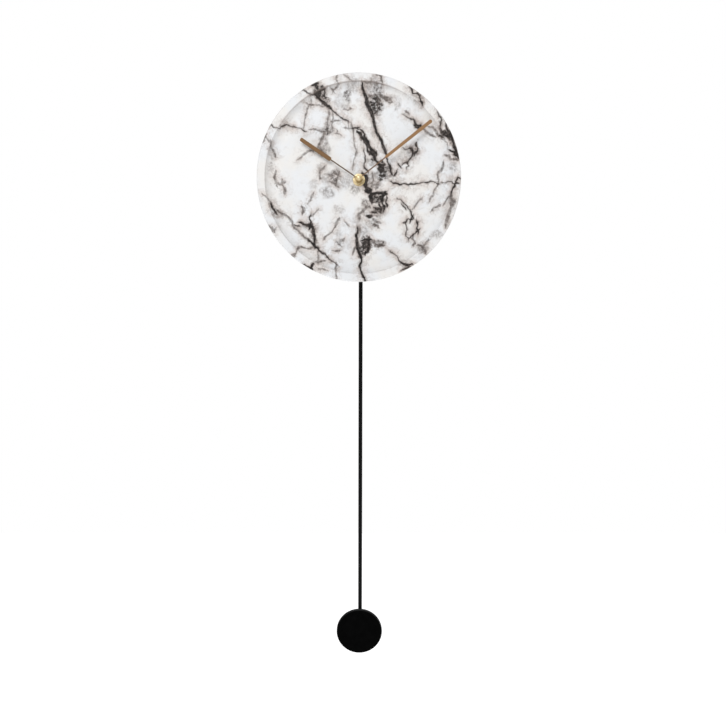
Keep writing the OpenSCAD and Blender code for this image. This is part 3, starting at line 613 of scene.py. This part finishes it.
def cloud_cover(shade, where, text):
    """How dark the strongest cloud is at a place."""
    cover = None
    for line in rows(text):
        for x, y, rx, ry, dark in line:
            spot = shade.vector("MULTIPLY_ADD", where, (1 / rx, 1 / ry, 0), (-x / rx, -y / ry, 0))
            far = shade.vector("LENGTH", spot, out=1)
            here = shade.step(far, 1.2, 0.45, 0, dark)
            cover = here if cover is None else shade.math("MAXIMUM", cover, here)
    return cover


def printed_place(shade, to_dial):
    """Place on the print in millimetres, with 1 as its third coordinate, and the distance from its
    centre. Down the skirt the place moves outwards, so that the print wraps round the edge."""
    x, depth, y = shade.split(to_dial)
    flat = shade.node("CombineXYZ", {"X": x, "Y": y}).outputs[0]
    flat = shade.vector("MULTIPLY_ADD", flat, (1 / MM, 1 / MM, 0), (0, 0, 1))
    radius = shade.vector("LENGTH", flat, out=1)
    depth = shade.math("MULTIPLY_ADD", depth, 1 / MM, RIM_W)
    wrap = shade.times(shade.step(radius, DIAL_R - 0.6, DIAL_R - 0.2), depth)
    grow = shade.math("MULTIPLY_ADD", wrap, 1 / DIAL_R, 1)
    grow = shade.node("CombineXYZ", {"X": grow, "Y": grow, "Z": 1}).outputs[0]
    return shade.vector("MULTIPLY", flat, grow), radius


def pushed(shade, where, noise, reach):
    """A place moved by a coloured noise, up to half the reach in millimetres."""
    push = shade.vector("SUBTRACT", noise, (0.5, 0.5, 0.5))
    return shade.vector("MULTIPLY_ADD", push, (reach, reach, 0), where)


class Marble(Shade):
    """The print's fields: distances from its veins, smoke and plain noises."""

    def __init__(self):
        super().__init__("marble_print", Specular_IOR_Level=0.18)
        self.to_dial = self.vector("SUBTRACT", self.place, (AXIS_X, 0, AXIS_Z))
        self.flat, self.radius = printed_place(self, self.to_dial)
        flat = self.flat
        bent = pushed(self, flat, self.noise(flat, 0.13, 2, colour=True), 4.2)
        self.bent = pushed(self, bent, self.noise(flat, 0.42, 3, 0.6, colour=True), 2.6)
        self.patch = self.noise(flat, 0.075, 4, 0.6)
        self.grain = self.noise(flat, 0.33, 5, 0.65)
        self.crumb = self.noise(flat, 0.9, 4, 0.7)
        self.black = nearest_vein(self, self.bent, BLACK_VEINS)
        self.grey = nearest_vein(self, self.bent, GREY_VEINS)
        self.near = self.math("MINIMUM", self.black, self.math("ADD", self.grey, 2.5))
        curled = pushed(self, flat, self.noise(flat, 0.1, 4, 0.65, colour=True), 16)
        self.smoke = cloud_cover(self, curled, CLOUDS)
        speckle = self.math("MULTIPLY_ADD", self.crumb, 0.35, self.times(self.grain, 0.65))
        self.smoky = self.step(speckle, 0.36, 0.6)


def ground(m):
    """White that turns from cool to warm in broad patches."""
    broad = m.noise(m.flat, 0.022, 3, 0.55)
    return m.blend(broad, 0.4, 0.62, (0.835, 0.85, 0.87), (0.86, 0.845, 0.825))


def halos(m, colour):
    """Pinkish stain round the veins."""
    halo = m.times(m.step(m.near, 11, 0), m.step(m.patch, 0.34, 0.6))
    return m.mix(m.times(halo, 0.8), colour, (0.66, 0.585, 0.545))


def threads(m, colour):
    """Fine brown threads near the veins."""
    ridge = m.math("ABSOLUTE", m.math("SUBTRACT", m.noise(m.bent, 0.085, 5, 0.62), 0.5))
    thread = m.times(m.step(ridge, 0.03, 0), m.step(m.near, 13, 2))
    return m.mix(m.times(thread, 0.5), colour, (0.33, 0.285, 0.26))


def mottling(m, colour):
    """Soft brown-grey blotches that thin out away from the veins."""
    blotch = m.step(m.noise(m.bent, 0.17, 4, 0.7), 0.5, 0.7)
    blotch = m.times(blotch, m.step(m.near, 20, 2, 0, 0.5))
    return m.mix(blotch, colour, (0.5, 0.46, 0.43))


def fringes(m, colour):
    """Speckled brown fringe along the black veins."""
    speckle = m.math("MULTIPLY_ADD", m.smoky, 0.8, 0.1)
    fringe = m.times(m.step(m.black, 2.7, -0.6), speckle)
    return m.mix(m.times(fringe, 0.75), colour, (0.2, 0.165, 0.15))


def smoke(m, colour):
    """Speckled clouds, brown where they are thin and near black where they are dense."""
    speckle = m.math("MULTIPLY_ADD", m.smoky, 1.55, 0.27)
    wisps = m.math("MULTIPLY", m.smoke, speckle, clamp=True)
    return m.mix(wisps, colour, m.mix(wisps, (0.25, 0.185, 0.155), (0.04, 0.034, 0.031)))


def grey_veins(m, colour):
    """Brown-grey veins, paler where the speckle is thin."""
    speckle = m.math("MULTIPLY_ADD", m.smoky, 0.5, 0.42)
    vein = m.times(m.step(m.grey, 1.1, -0.9), speckle)
    return m.mix(vein, colour, (0.1, 0.082, 0.073))


def black_veins(m, colour):
    """Ragged brown-black edges round ink that is thinner in spots where the vein is broad."""
    ragged = m.math("MULTIPLY_ADD", m.crumb, 1.7, m.black)
    edge = m.times(m.step(ragged, 1.5, 0.3), 0.8)
    colour = m.mix(edge, colour, (0.13, 0.105, 0.095))
    ink = m.blend(m.grain, 0.4, 0.68, (0.008, 0.0065, 0.006), (0.045, 0.036, 0.032))
    worn = m.times(m.step(m.grain, 0.5, 0.64), m.step(m.black, -0.2, -1.4, 0, -0.5))
    solid = m.times(m.step(ragged, 1.1, 0.1), m.math("ADD", worn, 0.96))
    return m.mix(solid, colour, ink)


def crease(m, colour):
    """Thin shadow line where the rim turns into the curved wall, strongest at the top left."""
    x, _, y = m.split(m.to_dial)
    line = m.math("ABSOLUTE", m.math("SUBTRACT", m.radius, DIAL_R - RIM_BAND))
    line = m.times(m.step(line, 1.2, 0.1), m.step(y, 0.05, 0.105, 0.1, 0.55))
    line = m.times(line, m.step(x, 0.06, 0.02, 0.15, 1))
    return m.mix(line, colour, (0.3, 0.25, 0.225))


def marble():
    """The print, laid on layer by layer."""
    m = Marble()
    colour = ground(m)
    for layer in (halos, threads, mottling, fringes, smoke, grey_veins, black_veins, crease):
        colour = layer(m, colour)
    m.set("Base Color", colour)
    m.set("Roughness", m.step(m.patch, 0.2, 0.8, 0.42, 0.5, smooth=False))
    m.bump(m.grain, 0.02 * MM, 0.25)
    return m.mat


# ---- other materials

def moulded(name, base, other, grain_mm, depth_mm, rough, specular=0.35):
    """Moulded plastic with a fine grain and faint mottling."""
    shade = Shade(name, Specular_IOR_Level=specular)
    mottle = shade.noise(shade.mm, 0.06, 4, 0.6)
    grain = shade.noise(shade.mm, 1 / grain_mm, 4, 0.6)
    colour = shade.blend(mottle, 0.3, 0.7, base, other)
    colour = shade.blend(grain, 0.4, 0.75, colour, other, 0.35)
    return shade.surface(colour, grain, rough - 0.05, rough + 0.08, depth_mm)


def dish_back():
    return moulded("dish_back", (0.7, 0.7, 0.69), (0.75, 0.75, 0.745), 0.8, 0.02, 0.5)


def frame_black():
    return moulded("frame_black", (0.016, 0.016, 0.017), (0.024, 0.024, 0.025), 0.35, 0.03, 0.6)


def case_plastic():
    return moulded("case_plastic", (0.02, 0.02, 0.022), (0.031, 0.031, 0.034), 0.5, 0.05, 0.55)


def gear_plastic():
    return moulded("gear_plastic", (0.8, 0.78, 0.7), (0.84, 0.83, 0.77), 1.5, 0.01, 0.38, 0.45)


def knob_plastic():
    return moulded("knob_plastic", (0.4, 0.4, 0.39), (0.47, 0.47, 0.46), 0.6, 0.02, 0.45)


def arm_plastic():
    return moulded("arm_plastic", (0.72, 0.72, 0.69), (0.78, 0.78, 0.76), 1.2, 0.012, 0.42, 0.45)


def rubber():
    return moulded("rubber", (0.012, 0.012, 0.012), (0.02, 0.02, 0.019), 0.25, 0.04, 0.85, 0.2)


def pad_foam():
    shade = Shade("pad_foam", Roughness=0.95, Specular_IOR_Level=0.15)
    cells = shade.node("TexVoronoi", {"Vector": shade.mm, "Scale": 2.2})
    pores = shade.step(cells.outputs["Distance"], 0.05, 0.5)
    shade.set("Base Color", shade.mix(pores, (0.035, 0.035, 0.036), (0.09, 0.09, 0.092)))
    shade.bump(pores, 0.15 * MM, 0.7)
    return shade.mat


def magnet():
    shade = Shade("magnet", Metallic=0.7)
    speckle = shade.noise(shade.mm, 5, 4, 0.7)
    colour = shade.blend(speckle, 0.35, 0.7, (0.1, 0.1, 0.105), (0.19, 0.19, 0.2))
    return shade.surface(colour, speckle, 0.38, 0.6, 0.02)


def plated_steel():
    """Zinc plating, faintly blue and yellow in patches, with rolling scratches."""
    shade = Shade("plated_steel", Metallic=1)
    patches = shade.noise(shade.mm, 0.35, 4, 0.6)
    scratches = shade.noise(shade.stretched(14, 3, 0.8), 1, 4, 0.6)
    colour = shade.blend(patches, 0.35, 0.65, (0.6, 0.62, 0.65), (0.66, 0.645, 0.6))
    colour = shade.blend(scratches, 0.5, 0.75, colour, (0.5, 0.5, 0.5), 0.4)
    return shade.surface(colour, scratches, 0.24, 0.42, 0.008)


def pin_steel():
    shade = Shade("pin_steel", Metallic=1)
    rings = shade.noise(shade.stretched(1, 9, 1), 1, 3, 0.5)
    colour = shade.blend(rings, 0.3, 0.7, (0.5, 0.5, 0.52), (0.66, 0.66, 0.67))
    return shade.surface(colour, rings, 0.16, 0.3, 0.006)


def turned_brass():
    """Brass with lathe rings and slight tarnish."""
    shade = Shade("turned_brass", Metallic=1)
    rings = shade.math("SINE", shade.times(shade.from_axis(), 32))
    tarnish = shade.noise(shade.mm, 0.5, 4, 0.6)
    colour = shade.blend(tarnish, 0.35, 0.7, (0.92, 0.78, 0.5), (0.8, 0.64, 0.36))
    shade.set("Base Color", shade.blend(rings, 0.2, 1, colour, (0.55, 0.42, 0.2), 0.25))
    shade.set("Roughness", shade.step(tarnish, 0.3, 0.7, 0.3, 0.42))
    shade.bump(rings, 0.012 * MM, 0.6)
    return shade.mat


def hand_copper(name, turn, gain):
    """Copper brushed along a hand, with painted shade darkening the stem, and brassy at the hub."""
    shade = Shade(name, Metallic=1)
    to_axis = shade.vector("SUBTRACT", shade.place, (AXIS_X, 0, AXIS_Z))
    level = shade.node("VectorRotate", {"Vector": to_axis, "Axis": (0, 1, 0),
                                        "Angle": radians(-turn)}).outputs[0]
    brushed = shade.noise(shade.vector("MULTIPLY", level, (9 / MM, 2 / MM, 0.12 / MM)), 1, 5, 0.65)
    # The gain scales every copper tone. The two hands get different gains as painted light: lit and
    # shaded copies of one copper.
    dark, light, dull, stem = (scaled(tone, gain) for tone in (
        (0.115, 0.066, 0.034), (0.165, 0.102, 0.056), (0.14, 0.083, 0.042), (0.08, 0.053, 0.038)))
    colour = shade.blend(brushed, 0.3, 0.7, dark, light)
    clouds = shade.noise(shade.mm, 0.15, 3, 0.5)
    colour = shade.blend(clouds, 0.4, 0.65, colour, dull, 0.5)
    reach = shade.from_axis()
    # Painted shade: the stem, inside the start of the blade, is darkened towards a dim tone.
    colour = shade.blend(reach, BLADE_START + 1, BLADE_START - 3, colour, stem, 0.9)
    colour = shade.blend(reach, 5.5, 4.5, colour, (0.5, 0.37, 0.18))
    return shade.surface(colour, brushed, 0.48, 0.6, 0.01, 0.6)


def black_paint(name, base, rough, specular, disc=None):
    """Satin black powder coat. A disc of a (centre y, radius) has a paler edge, a painted highlight."""
    shade = Shade(name, Specular_IOR_Level=specular)
    peel = shade.noise(shade.mm, 1.1, 3, 0.55)
    dust = shade.noise(shade.mm, 0.12, 4, 0.6)
    colour = shade.blend(dust, 0.35, 0.7, base, scaled(base, 1.7))
    if disc:
        y, r = disc
        # Painted highlight: the disc's outer 1.3 mm is paler, standing in for light caught by its rounded
        # edge.
        colour = shade.blend(shade.from_axis(y), r - 1.3, r, colour, (0.03, 0.03, 0.03))
    return shade.surface(colour, peel, rough - 0.04, rough + 0.05, 0.006, 0.3)


def board():
    """Green solder mask over tracks, with a bare woven edge showing through."""
    shade = Shade("board", Roughness=0.35)
    tracks = shade.node("TexBrick", {
        "Vector": shade.mm, "Scale": 0.45, "Mortar Size": 0.04, "Mortar": (0.03, 0.19, 0.06),
        "Color1": (0.006, 0.06, 0.02), "Color2": (0.008, 0.075, 0.027)})
    weave = shade.noise(shade.mm, 3, 3, 0.6)
    colour = shade.blend(weave, 0.4, 0.7, tracks.outputs[0], (0.02, 0.13, 0.045), 0.35)
    shade.set("Base Color", colour)
    shade.bump(tracks.outputs[1], 0.03 * MM)
    return shade.mat


def windings():
    """Enamelled copper wire, wound turn by turn."""
    shade = Shade("windings", Metallic=0.8)
    x, y, _ = shade.split(shade.mm)
    across = shade.math("ADD", x, y)
    turns = shade.math("SINE", shade.times(across, 22))
    dull = shade.noise(shade.mm, 0.8, 3, 0.5)
    colour = shade.blend(turns, -0.8, 0.8, (0.12, 0.025, 0.01), (0.55, 0.17, 0.06))
    shade.set("Base Color", shade.blend(dull, 0.4, 0.7, colour, (0.35, 0.11, 0.05), 0.4))
    shade.set("Roughness", shade.step(turns, -1, 1, 0.45, 0.28))
    shade.bump(turns, 0.06 * MM)
    return shade.mat


def stator_steel():
    shade = Shade("stator_steel", Metallic=1)
    rolled = shade.noise(shade.stretched(0.3, 1, 8), 1, 4, 0.6)
    blue = shade.noise(shade.mm, 0.2, 3, 0.5)
    colour = shade.blend(rolled, 0.3, 0.7, (0.3, 0.31, 0.33), (0.44, 0.44, 0.45))
    colour = shade.blend(blue, 0.45, 0.7, colour, (0.25, 0.28, 0.36), 0.5)
    return shade.surface(colour, rolled, 0.3, 0.45, 0.01)


def battery_sleeve():
    """Black sleeve with a copper-coloured end, and bare steel past its edges."""
    shade = Shade("battery_sleeve", Specular_IOR_Level=0.6)
    along = shade.split(shade.mm)[0]
    wrinkle = shade.noise(shade.stretched(0.15, 1, 1), 0.8, 4, 0.6)
    copper_end = shade.step(along, 11.9, 12.1)
    line = shade.math("SUBTRACT", shade.step(along, 10.6, 10.7), shade.step(along, 11.3, 11.4))
    steel = shade.math("ADD", shade.step(along, CELL_END - 0.9, CELL_END - 0.8),
                       shade.step(along, CELL_START + 0.7, CELL_START + 0.6))
    dark = shade.blend(wrinkle, 0.4, 0.7, (0.014, 0.014, 0.016), (0.024, 0.024, 0.027))
    colour = shade.mix(copper_end, dark, (0.46, 0.2, 0.07))
    colour = shade.mix(line, colour, (0.7, 0.7, 0.7))
    shade.set("Metallic", shade.math("MAXIMUM", copper_end, steel))
    colour = shade.mix(steel, colour, (0.6, 0.6, 0.6))
    return shade.surface(colour, wrinkle, 0.24, 0.36, 0.03)


# ---- pieces in front

def dial_profile():
    """Section of the dish, from its hole out over the rim and back behind."""
    face_w = RIM_W - DISH_DEPTH
    flat_r = DIAL_R - RIM_BAND - COVE_BAND
    cove_r = (COVE_BAND ** 2 + DISH_DEPTH ** 2) / (2 * DISH_DEPTH)
    lift = cove_r - DISH_DEPTH
    back_r = cove_r + DISH_WALL
    back_angle = degrees(asin((lift + DISH_WALL) / back_r))
    rim_turn = degrees(atan2(lift, COVE_BAND))
    inner = DIAL_R - DISH_WALL
    end_w = RIM_W - SKIRT
    profile = [(4.1, face_w), (4.6, face_w)] + [(flat_r * k / 6, face_w) for k in range(1, 6)]
    profile += arc(flat_r, face_w + cove_r, cove_r, -90, -rim_turn, 28)
    profile += arc(DIAL_R - EDGE_R, RIM_W - EDGE_R, EDGE_R, 90, 0, 8)
    profile += [(DIAL_R, end_w + 0.4), (DIAL_R - 0.4, end_w), (inner + 0.4, end_w)]
    profile += [(inner, end_w + 0.4), (inner, RIM_W - DISH_WALL)]
    profile += arc(flat_r, face_w + cove_r, back_r, -back_angle, -90, 20)
    return profile + [(4.1, face_w - DISH_WALL)]


def boss_places():
    """Where the screw bosses stand on the dial's back."""
    return arc(0, 0, BOSS_RING, 30, 390, BOSS_COUNT)[:-1]


def boss(x, y):
    """Hollow boss for a screw, rooted in the dish's face."""
    root = RIM_W - DISH_DEPTH - DISH_WALL
    end = root - 4
    return lathe("boss", [(1.2, root - 0.05), (1.2, end + 0.3), (1.5, end), (3.8, end),
                          (4, end + 0.2), (4, root + 0.2), (1.2, root + 0.2)], x, y, steps=32)


def dial():
    """The dish, printed in front and plain white behind."""
    dish = lathe("dial", dial_profile(), steps=192, sharp=30)
    for x, y in boss_places():
        combine(dish, boss(x, y), "UNION")
    dress(dish, "dial_dish", marble())
    dish.data.materials.append(dish_back())
    for face in dish.data.polygons:
        radius = hypot(face.center.x - AXIS_X, face.center.z - AXIS_Z) / MM
        inward = radius < DIAL_R - 0.6 and face.center.y > -(RIM_W - DISH_WALL + 0.1) * MM
        if face.normal.y > 0.3 or (inward and abs(face.normal.y) < 0.3):
            face.material_index = 1


def hand_outline(length, hub_r, stem, blade, tip, corner):
    """Hub disc, thin stem and a blade with rounded corners, pointing up."""
    lean = degrees(asin(stem / 2 / hub_r))
    out = arc(0, 0, hub_r, 90 + lean, 450 - lean, 56)
    side = [(stem / 2, 36, 0), (stem / 2, BLADE_START + 0.1, 0.5),
            (blade / 2, BLADE_START + 0.4, 0.9), (tip / 2, length, corner)]
    return out + rounded(side + [(-x, y, r) for x, y, r in reversed(side)], 5)


def hour_hand():
    """Hand with a collar behind it, which grips the hour sleeve."""
    bore = 2.55
    back = HOUR_BACK
    blade = slab("hour_hand_skin", [hand_outline(84, 4.4, 1.4, 5, 4.4, 1.35), circle(bore)],
                 back, back + HAND_THICK, 0.16, HOUR_TURN)
    collar = lathe("collar", [(bore, back - 1.5), (3.2, back - 1.5), (3.4, back - 1.3),
                              (3.4, back + 0.1), (bore, back + 0.1)], steps=48)
    combine(blade, collar, "UNION")
    # Painted light: the same copper as the minute hand, darker here at gain 1.35.
    dress(blade, "hour_hand", hand_copper("hour_copper", HOUR_TURN, 1.35))


def minute_hand():
    blade = slab("minute_hand_skin", [hand_outline(109.5, 3.6, 1.4, 3.4, 4.2, 1.9), circle(1.4)],
                 MINUTE_BACK, MINUTE_BACK + HAND_THICK, 0.16, MINUTE_TURN)
    # Painted light: a brighter copy of the hour hand's copper, at gain 2.3, for the stronger reflection
    # of this hand.
    dress(blade, "minute_hand", hand_copper("minute_copper", MINUTE_TURN, 2.3))


def washer(brass):
    back, front = WASHER_BACK, NUT_BACK
    ring = lathe("washer", [(4.1, back), (7.2, back), (7.4, back + 0.15), (7.4, front - 0.18),
                            (7.22, front), (4.3, front), (4.1, front - 0.15)], steps=96)
    dress(ring, "brass_washer", brass)


def nut(brass):
    """Hexagon nut, its corners cut by a chamfered disc."""
    back, front = NUT_BACK, NUT_FRONT
    corner = 6 / cos(pi / 6)
    hexagon = slab("nut", [circle(corner, 6), circle(4.05, 48)], back, front, 0)
    disc = lathe("chamfer", [(3.9, back - 0.1), (6.5, back - 0.1), (7.1, back + 0.3),
                             (7.1, front - 0.65), (6.02, front), (3.9, front)], steps=96)
    combine(hexagon, disc, "INTERSECT")
    dress(hexagon, "hex_nut", brass)


def bushing(brass):
    """Threaded bushing with a flange at its back."""
    bore = BUSHING_BORE_R
    back, front = BUSHING_BACK, BUSHING_FRONT
    profile = [(bore, back), (5.8, back), (6, back + 0.2), (6, back + 1), (3.9, back + 1)]
    pitch = 0.5
    start = back + 1.1
    for k in range(round((front - start) / pitch)):
        w = start + pitch * k
        profile += [(3.8, w + 0.05), (4, w + 0.2), (4, w + 0.3), (3.8, w + 0.45)]
    profile += [(3.7, front), (bore + 0.2, front), (bore, front - 0.2)]
    dress(lathe("bushing", profile, steps=64), "centre_bushing", brass)


def cap(brass):
    """Domed cap nut in front of the minute hand."""
    w = CAP_BACK
    profile = [(1.4, w), (2.75, w), (2.9, w + 0.12), (2.9, w + 0.5), (2.8, w + 0.65), (2.35, w + 0.7),
               (2.3, w + 0.82)] + arc(0.9, w + 0.9, 1.4, 0, 90, 8)
    profile += [(0, w + 2.3), (0, w + 1.5), (1.4, w + 1.5)]
    dress(lathe("cap", profile, steps=64), "cap_nut", brass)


def rod():
    """Leaning rod with a softened lower end."""
    low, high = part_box("pendulum_rod")
    top = (high.z - AXIS_Z) / MM - 0.01
    end = (low.z - AXIS_Z) / MM + 0.01
    length = top - end
    r = ROD_R
    profile = [(0, -length), (r * 0.75, -length), (r * 0.94, 0.15 - length), (r, 0.6 - length)]
    profile += [(r, -length * k / 12) for k in range(11, 0, -1)] + [(r, -0.4), (r - 0.3, 0), (0, 0)]
    made = lathe("rod", profile, 0, ROD_W, axis="y", steps=40)
    made.data.transform(Matrix.Translation(at(0, 0, ROD_W)).inverted())
    lean = atan2((high.x - low.x) / MM - 2 * r, length)
    made.data.transform(Matrix.Rotation(lean, 4, "Y"))
    made.data.transform(Matrix.Translation(at(high.x / MM - r, top, ROD_W)))
    dress(made, "pendulum_rod", black_paint("rod_black", (0.0032, 0.0032, 0.0032), 0.5, 0.08))


def bob():
    """Flat disc with a rounded front edge, and the clip and screws behind it."""
    near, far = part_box("bob_disc")
    back, front = -far.y / MM, -near.y / MM
    r = (far.x - near.x) / 2 / MM
    profile = [(0, back), (r - 0.5, back), (r, back + 0.4)] + arc(r - 1, front - 1, 1, 0, 90, 8)
    profile += [(r * k / 5, front) for k in (4, 3, 2, 1)] + [(0, front)]
    # The bob's black carries a painted highlight round its edge.
    black = black_paint("bob_black", (0.0012, 0.0012, 0.0012), 0.5, 0.012, (BOB_Y, r))
    dress(lathe("bob", profile, 0, BOB_Y), "bob_disc", black)
    soften("bob_clip", 0.3, frame_black())
    places = [(-9, BOB_Y), (9, BOB_Y)]
    dress(screws("clip_skin", places, back - 3.4, 2, 1.4, 1, 4.4), "clip_screws", plated_steel())


def screw_profile(head_w, head_r, head_t, shank_r, shank_len):
    """Domed head, grooved shank and pointed end, from the wall outwards."""
    top = head_w + head_t
    turns = [radians(a) for a in range(0, 91, 15)]
    profile = [(head_r * sin(t), head_w + head_t * 0.7 * (1 - cos(t))) for t in turns]
    profile += [(head_r, top), (shank_r * 0.9, top)]
    pitch = 0.6
    for k in range(int((shank_len - 1.2) / pitch)):
        w = top + 0.4 + pitch * k
        profile += [(shank_r * 0.78, w), (shank_r, w + pitch * 0.5)]
    return profile + [(shank_r * 0.75, top + shank_len - 0.8), (0, top + shank_len)]


def screws(name, places, head_w, head_r, head_t, shank_r, shank_len):
    """Pan-head screws with cross recesses, their heads towards the wall."""
    profile = screw_profile(head_w, head_r, head_t, shank_r, shank_len)
    long, narrow = head_r * 0.55, head_r * 0.13
    made = None
    for x, y in places:
        screw = lathe(name, profile, x, y, steps=32)
        for i, j in ((long, narrow), (narrow, long)):
            corners = [(x - i, y - j), (x + i, y - j), (x + i, y + j), (x - i, y + j)]
            bar = slab("recess", [corners], head_w - 1, head_w + head_t * 0.6, 0)
            combine(screw, bar, "DIFFERENCE")
        made = join(made, screw) if made else screw
    return made


def join(first, second):
    """Two pieces' meshes in one object."""
    bm = bmesh.new()
    bm.from_mesh(first.data)
    bm.from_mesh(second.data)
    bm.to_mesh(first.data)
    bm.free()
    bpy.data.objects.remove(second)
    return first


# ---- pieces behind

def soften(node, bevel, material):
    """Shows a node in its own CAD shape with its hard edges softened."""
    bm = bmesh.new()
    bm.from_mesh(frame["nodes"][node].data)
    bmesh.ops.remove_doubles(bm, verts=bm.verts, dist=1e-6)
    bmesh.ops.dissolve_limit(bm, angle_limit=radians(0.5), verts=bm.verts, edges=bm.edges)
    bevel_sharp(bm, bevel)
    thing = to_object(bm, node + "_skin")
    if "custom_normal" in thing.data.attributes:
        thing.data.attributes.remove(thing.data.attributes["custom_normal"])
    dress(thing, node, material)


def back_frame():
    """Ring behind the dial, with its screws, hanger and wall pads."""
    soften("back_frame", 0.35, frame_black())
    steel = plated_steel()
    dress(screws("frame_screw_skin", boss_places(), 21.2, 3, 1.8, 1.2, 6), "frame_screws", steel)
    soften("hanger_plate", 0.12, steel)
    soften("hanger_screws", 0.12, steel)
    soften("wall_pads", 0.15, pad_foam())


def movement_outside():
    """Case, back cover and what shows on them."""
    dark = case_plastic()
    steel = plated_steel()
    soften("movement_case", 0.4, dark)
    soften("movement_cover", 0.25, dark)
    places = [(x, y) for x in (-27, 27) for y in (25, -81)]
    dress(screws("cover_screw_skin", places, 9.3, 1.9, 1.2, 0.9, 8), "cover_screws", steel)
    for node, bevel, material in (
            ("setting_knob", 0.1, knob_plastic()), ("rubber_washer", 0.15, rubber()),
            ("battery_spring", 0.08, steel), ("battery_contact", 0.15, steel),
            ("pivot_pin", 0.12, pin_steel()), ("pendulum_arm", 0.25, arm_plastic()),
            ("arm_magnet", 0.2, magnet()), ("rod_hook", 0.15, steel)):
        soften(node, bevel, material)


def battery():
    """AA cell with rolled ends, a crimped shoulder and a raised contact."""
    start, end, r = CELL_START, CELL_END, CELL_R
    profile = [(0, start + 0.15), (5.2, start + 0.15), (5.3, start), (6.6, start), (7, start + 0.1),
               (r, start + 0.5), (r, start + 12), (r, start + 24), (r, start + 36), (r, end - 0.9)]
    profile += [(7.1, end - 0.35), (6.7, end), (6.3, end), (6.1, end - 0.3), (3.2, end - 0.3)]
    profile += [(3, end - 0.1), (2.75, end + 0.1), (2.75, end + 1.2)]
    profile += [(2.5, end + 1.5), (0, end + 1.5)]
    cell = lathe("cell", profile, CELL_Y, CELL_W, axis="x", steps=72)
    dress(cell, "battery", battery_sleeve())


def movement_inside():
    """Wheels, motor and electronics, sealed in the case, shown as in CAD."""
    acetal = gear_plastic()
    for wheel in ("centre", "motion", "hour", "third", "second", "step"):
        paint(wheel + "_wheel", acetal)
    paint("motor_rotor", magnet())
    paint("motor_stator", stator_steel())
    copper = windings()
    paint("motor_coil", copper)
    paint("drive_coil", copper)
    paint("circuit_board", board())
    paint("quartz_crystal", plated_steel())


# ---- studio

def camera():
    data = bpy.data.cameras.new("view")
    data.lens = LENS
    data.sensor_width = 36
    data.clip_end = 20
    cam = new_object("view", data)
    cam.location = CAMERA_PLACE
    cam.rotation_euler = (radians(90 - CAMERA_PITCH), 0, 0)
    bpy.context.scene.camera = cam


def lamp(name, size, energy, where, look):
    """Round soft light, turned to a point."""
    data = bpy.data.lights.new(name, "AREA")
    data.shape = "DISK"
    data.size = size
    data.energy = energy
    thing = new_object(name, data)
    thing.location = where
    thing.rotation_euler = (Vector(look) - Vector(where)).to_track_quat("-Z", "Y").to_euler()


def surroundings():
    """White to the camera, a softer grey as light."""
    made = bpy.data.worlds.new("studio")
    bpy.context.scene.world = made
    made.use_nodes = True
    tree = made.node_tree
    tree.nodes.clear()
    out, seen, lit, path, mix = [tree.nodes.new("ShaderNode" + kind) for kind in (
        "OutputWorld", "Background", "Background", "LightPath", "MixShader")]
    seen.inputs[0].default_value = (1, 1, 1, 1)
    lit.inputs[0].default_value = (1, 1, 1, 1)
    lit.inputs[1].default_value = WORLD_LIGHT
    for source, target in ((path.outputs["Is Camera Ray"], mix.inputs[0]),
                           (lit.outputs[0], mix.inputs[1]), (seen.outputs[0], mix.inputs[2]),
                           (mix.outputs[0], out.inputs[0])):
        tree.links.new(source, target)


def floor(height=-1.3, half=2):
    """Plain pale square, far below the clock."""
    bm = bmesh.new()
    corners = ((-half, -half), (half, -half), (half, half), (-half, half))
    bm.faces.new([bm.verts.new((x, y, height)) for x, y in corners])
    mesh = bpy.data.meshes.new("floor")
    bm.to_mesh(mesh)
    bm.free()
    thing = new_object("floor", mesh)
    mesh.materials.append(Shade("floor_white", Base_Color=(0.9, 0.9, 0.9), Roughness=0.9,
                                Emission_Color=(1, 1, 1), Emission_Strength=0.7).mat)


def studio():
    bpy.context.scene.view_settings.view_transform = "Standard"
    surroundings()
    floor()
    camera()
    lamp("key", 0.9, 16.5, (-0.5, -1.55, 0.8), (0, 0, -0.15))
    lamp("fill", 1.4, 3, (1.2, -1.2, 0.1), (0, 0, -0.2))
    lamp("rear", 1.2, 9, (0.7, 1.5, 0.7), (0, 0, -0.2))


dial()
hub_brass = turned_brass()
for piece in (washer, nut, bushing, cap):
    piece(hub_brass)
hour_hand()
minute_hand()
rod()
bob()
back_frame()
movement_outside()
battery()
movement_inside()
studio()
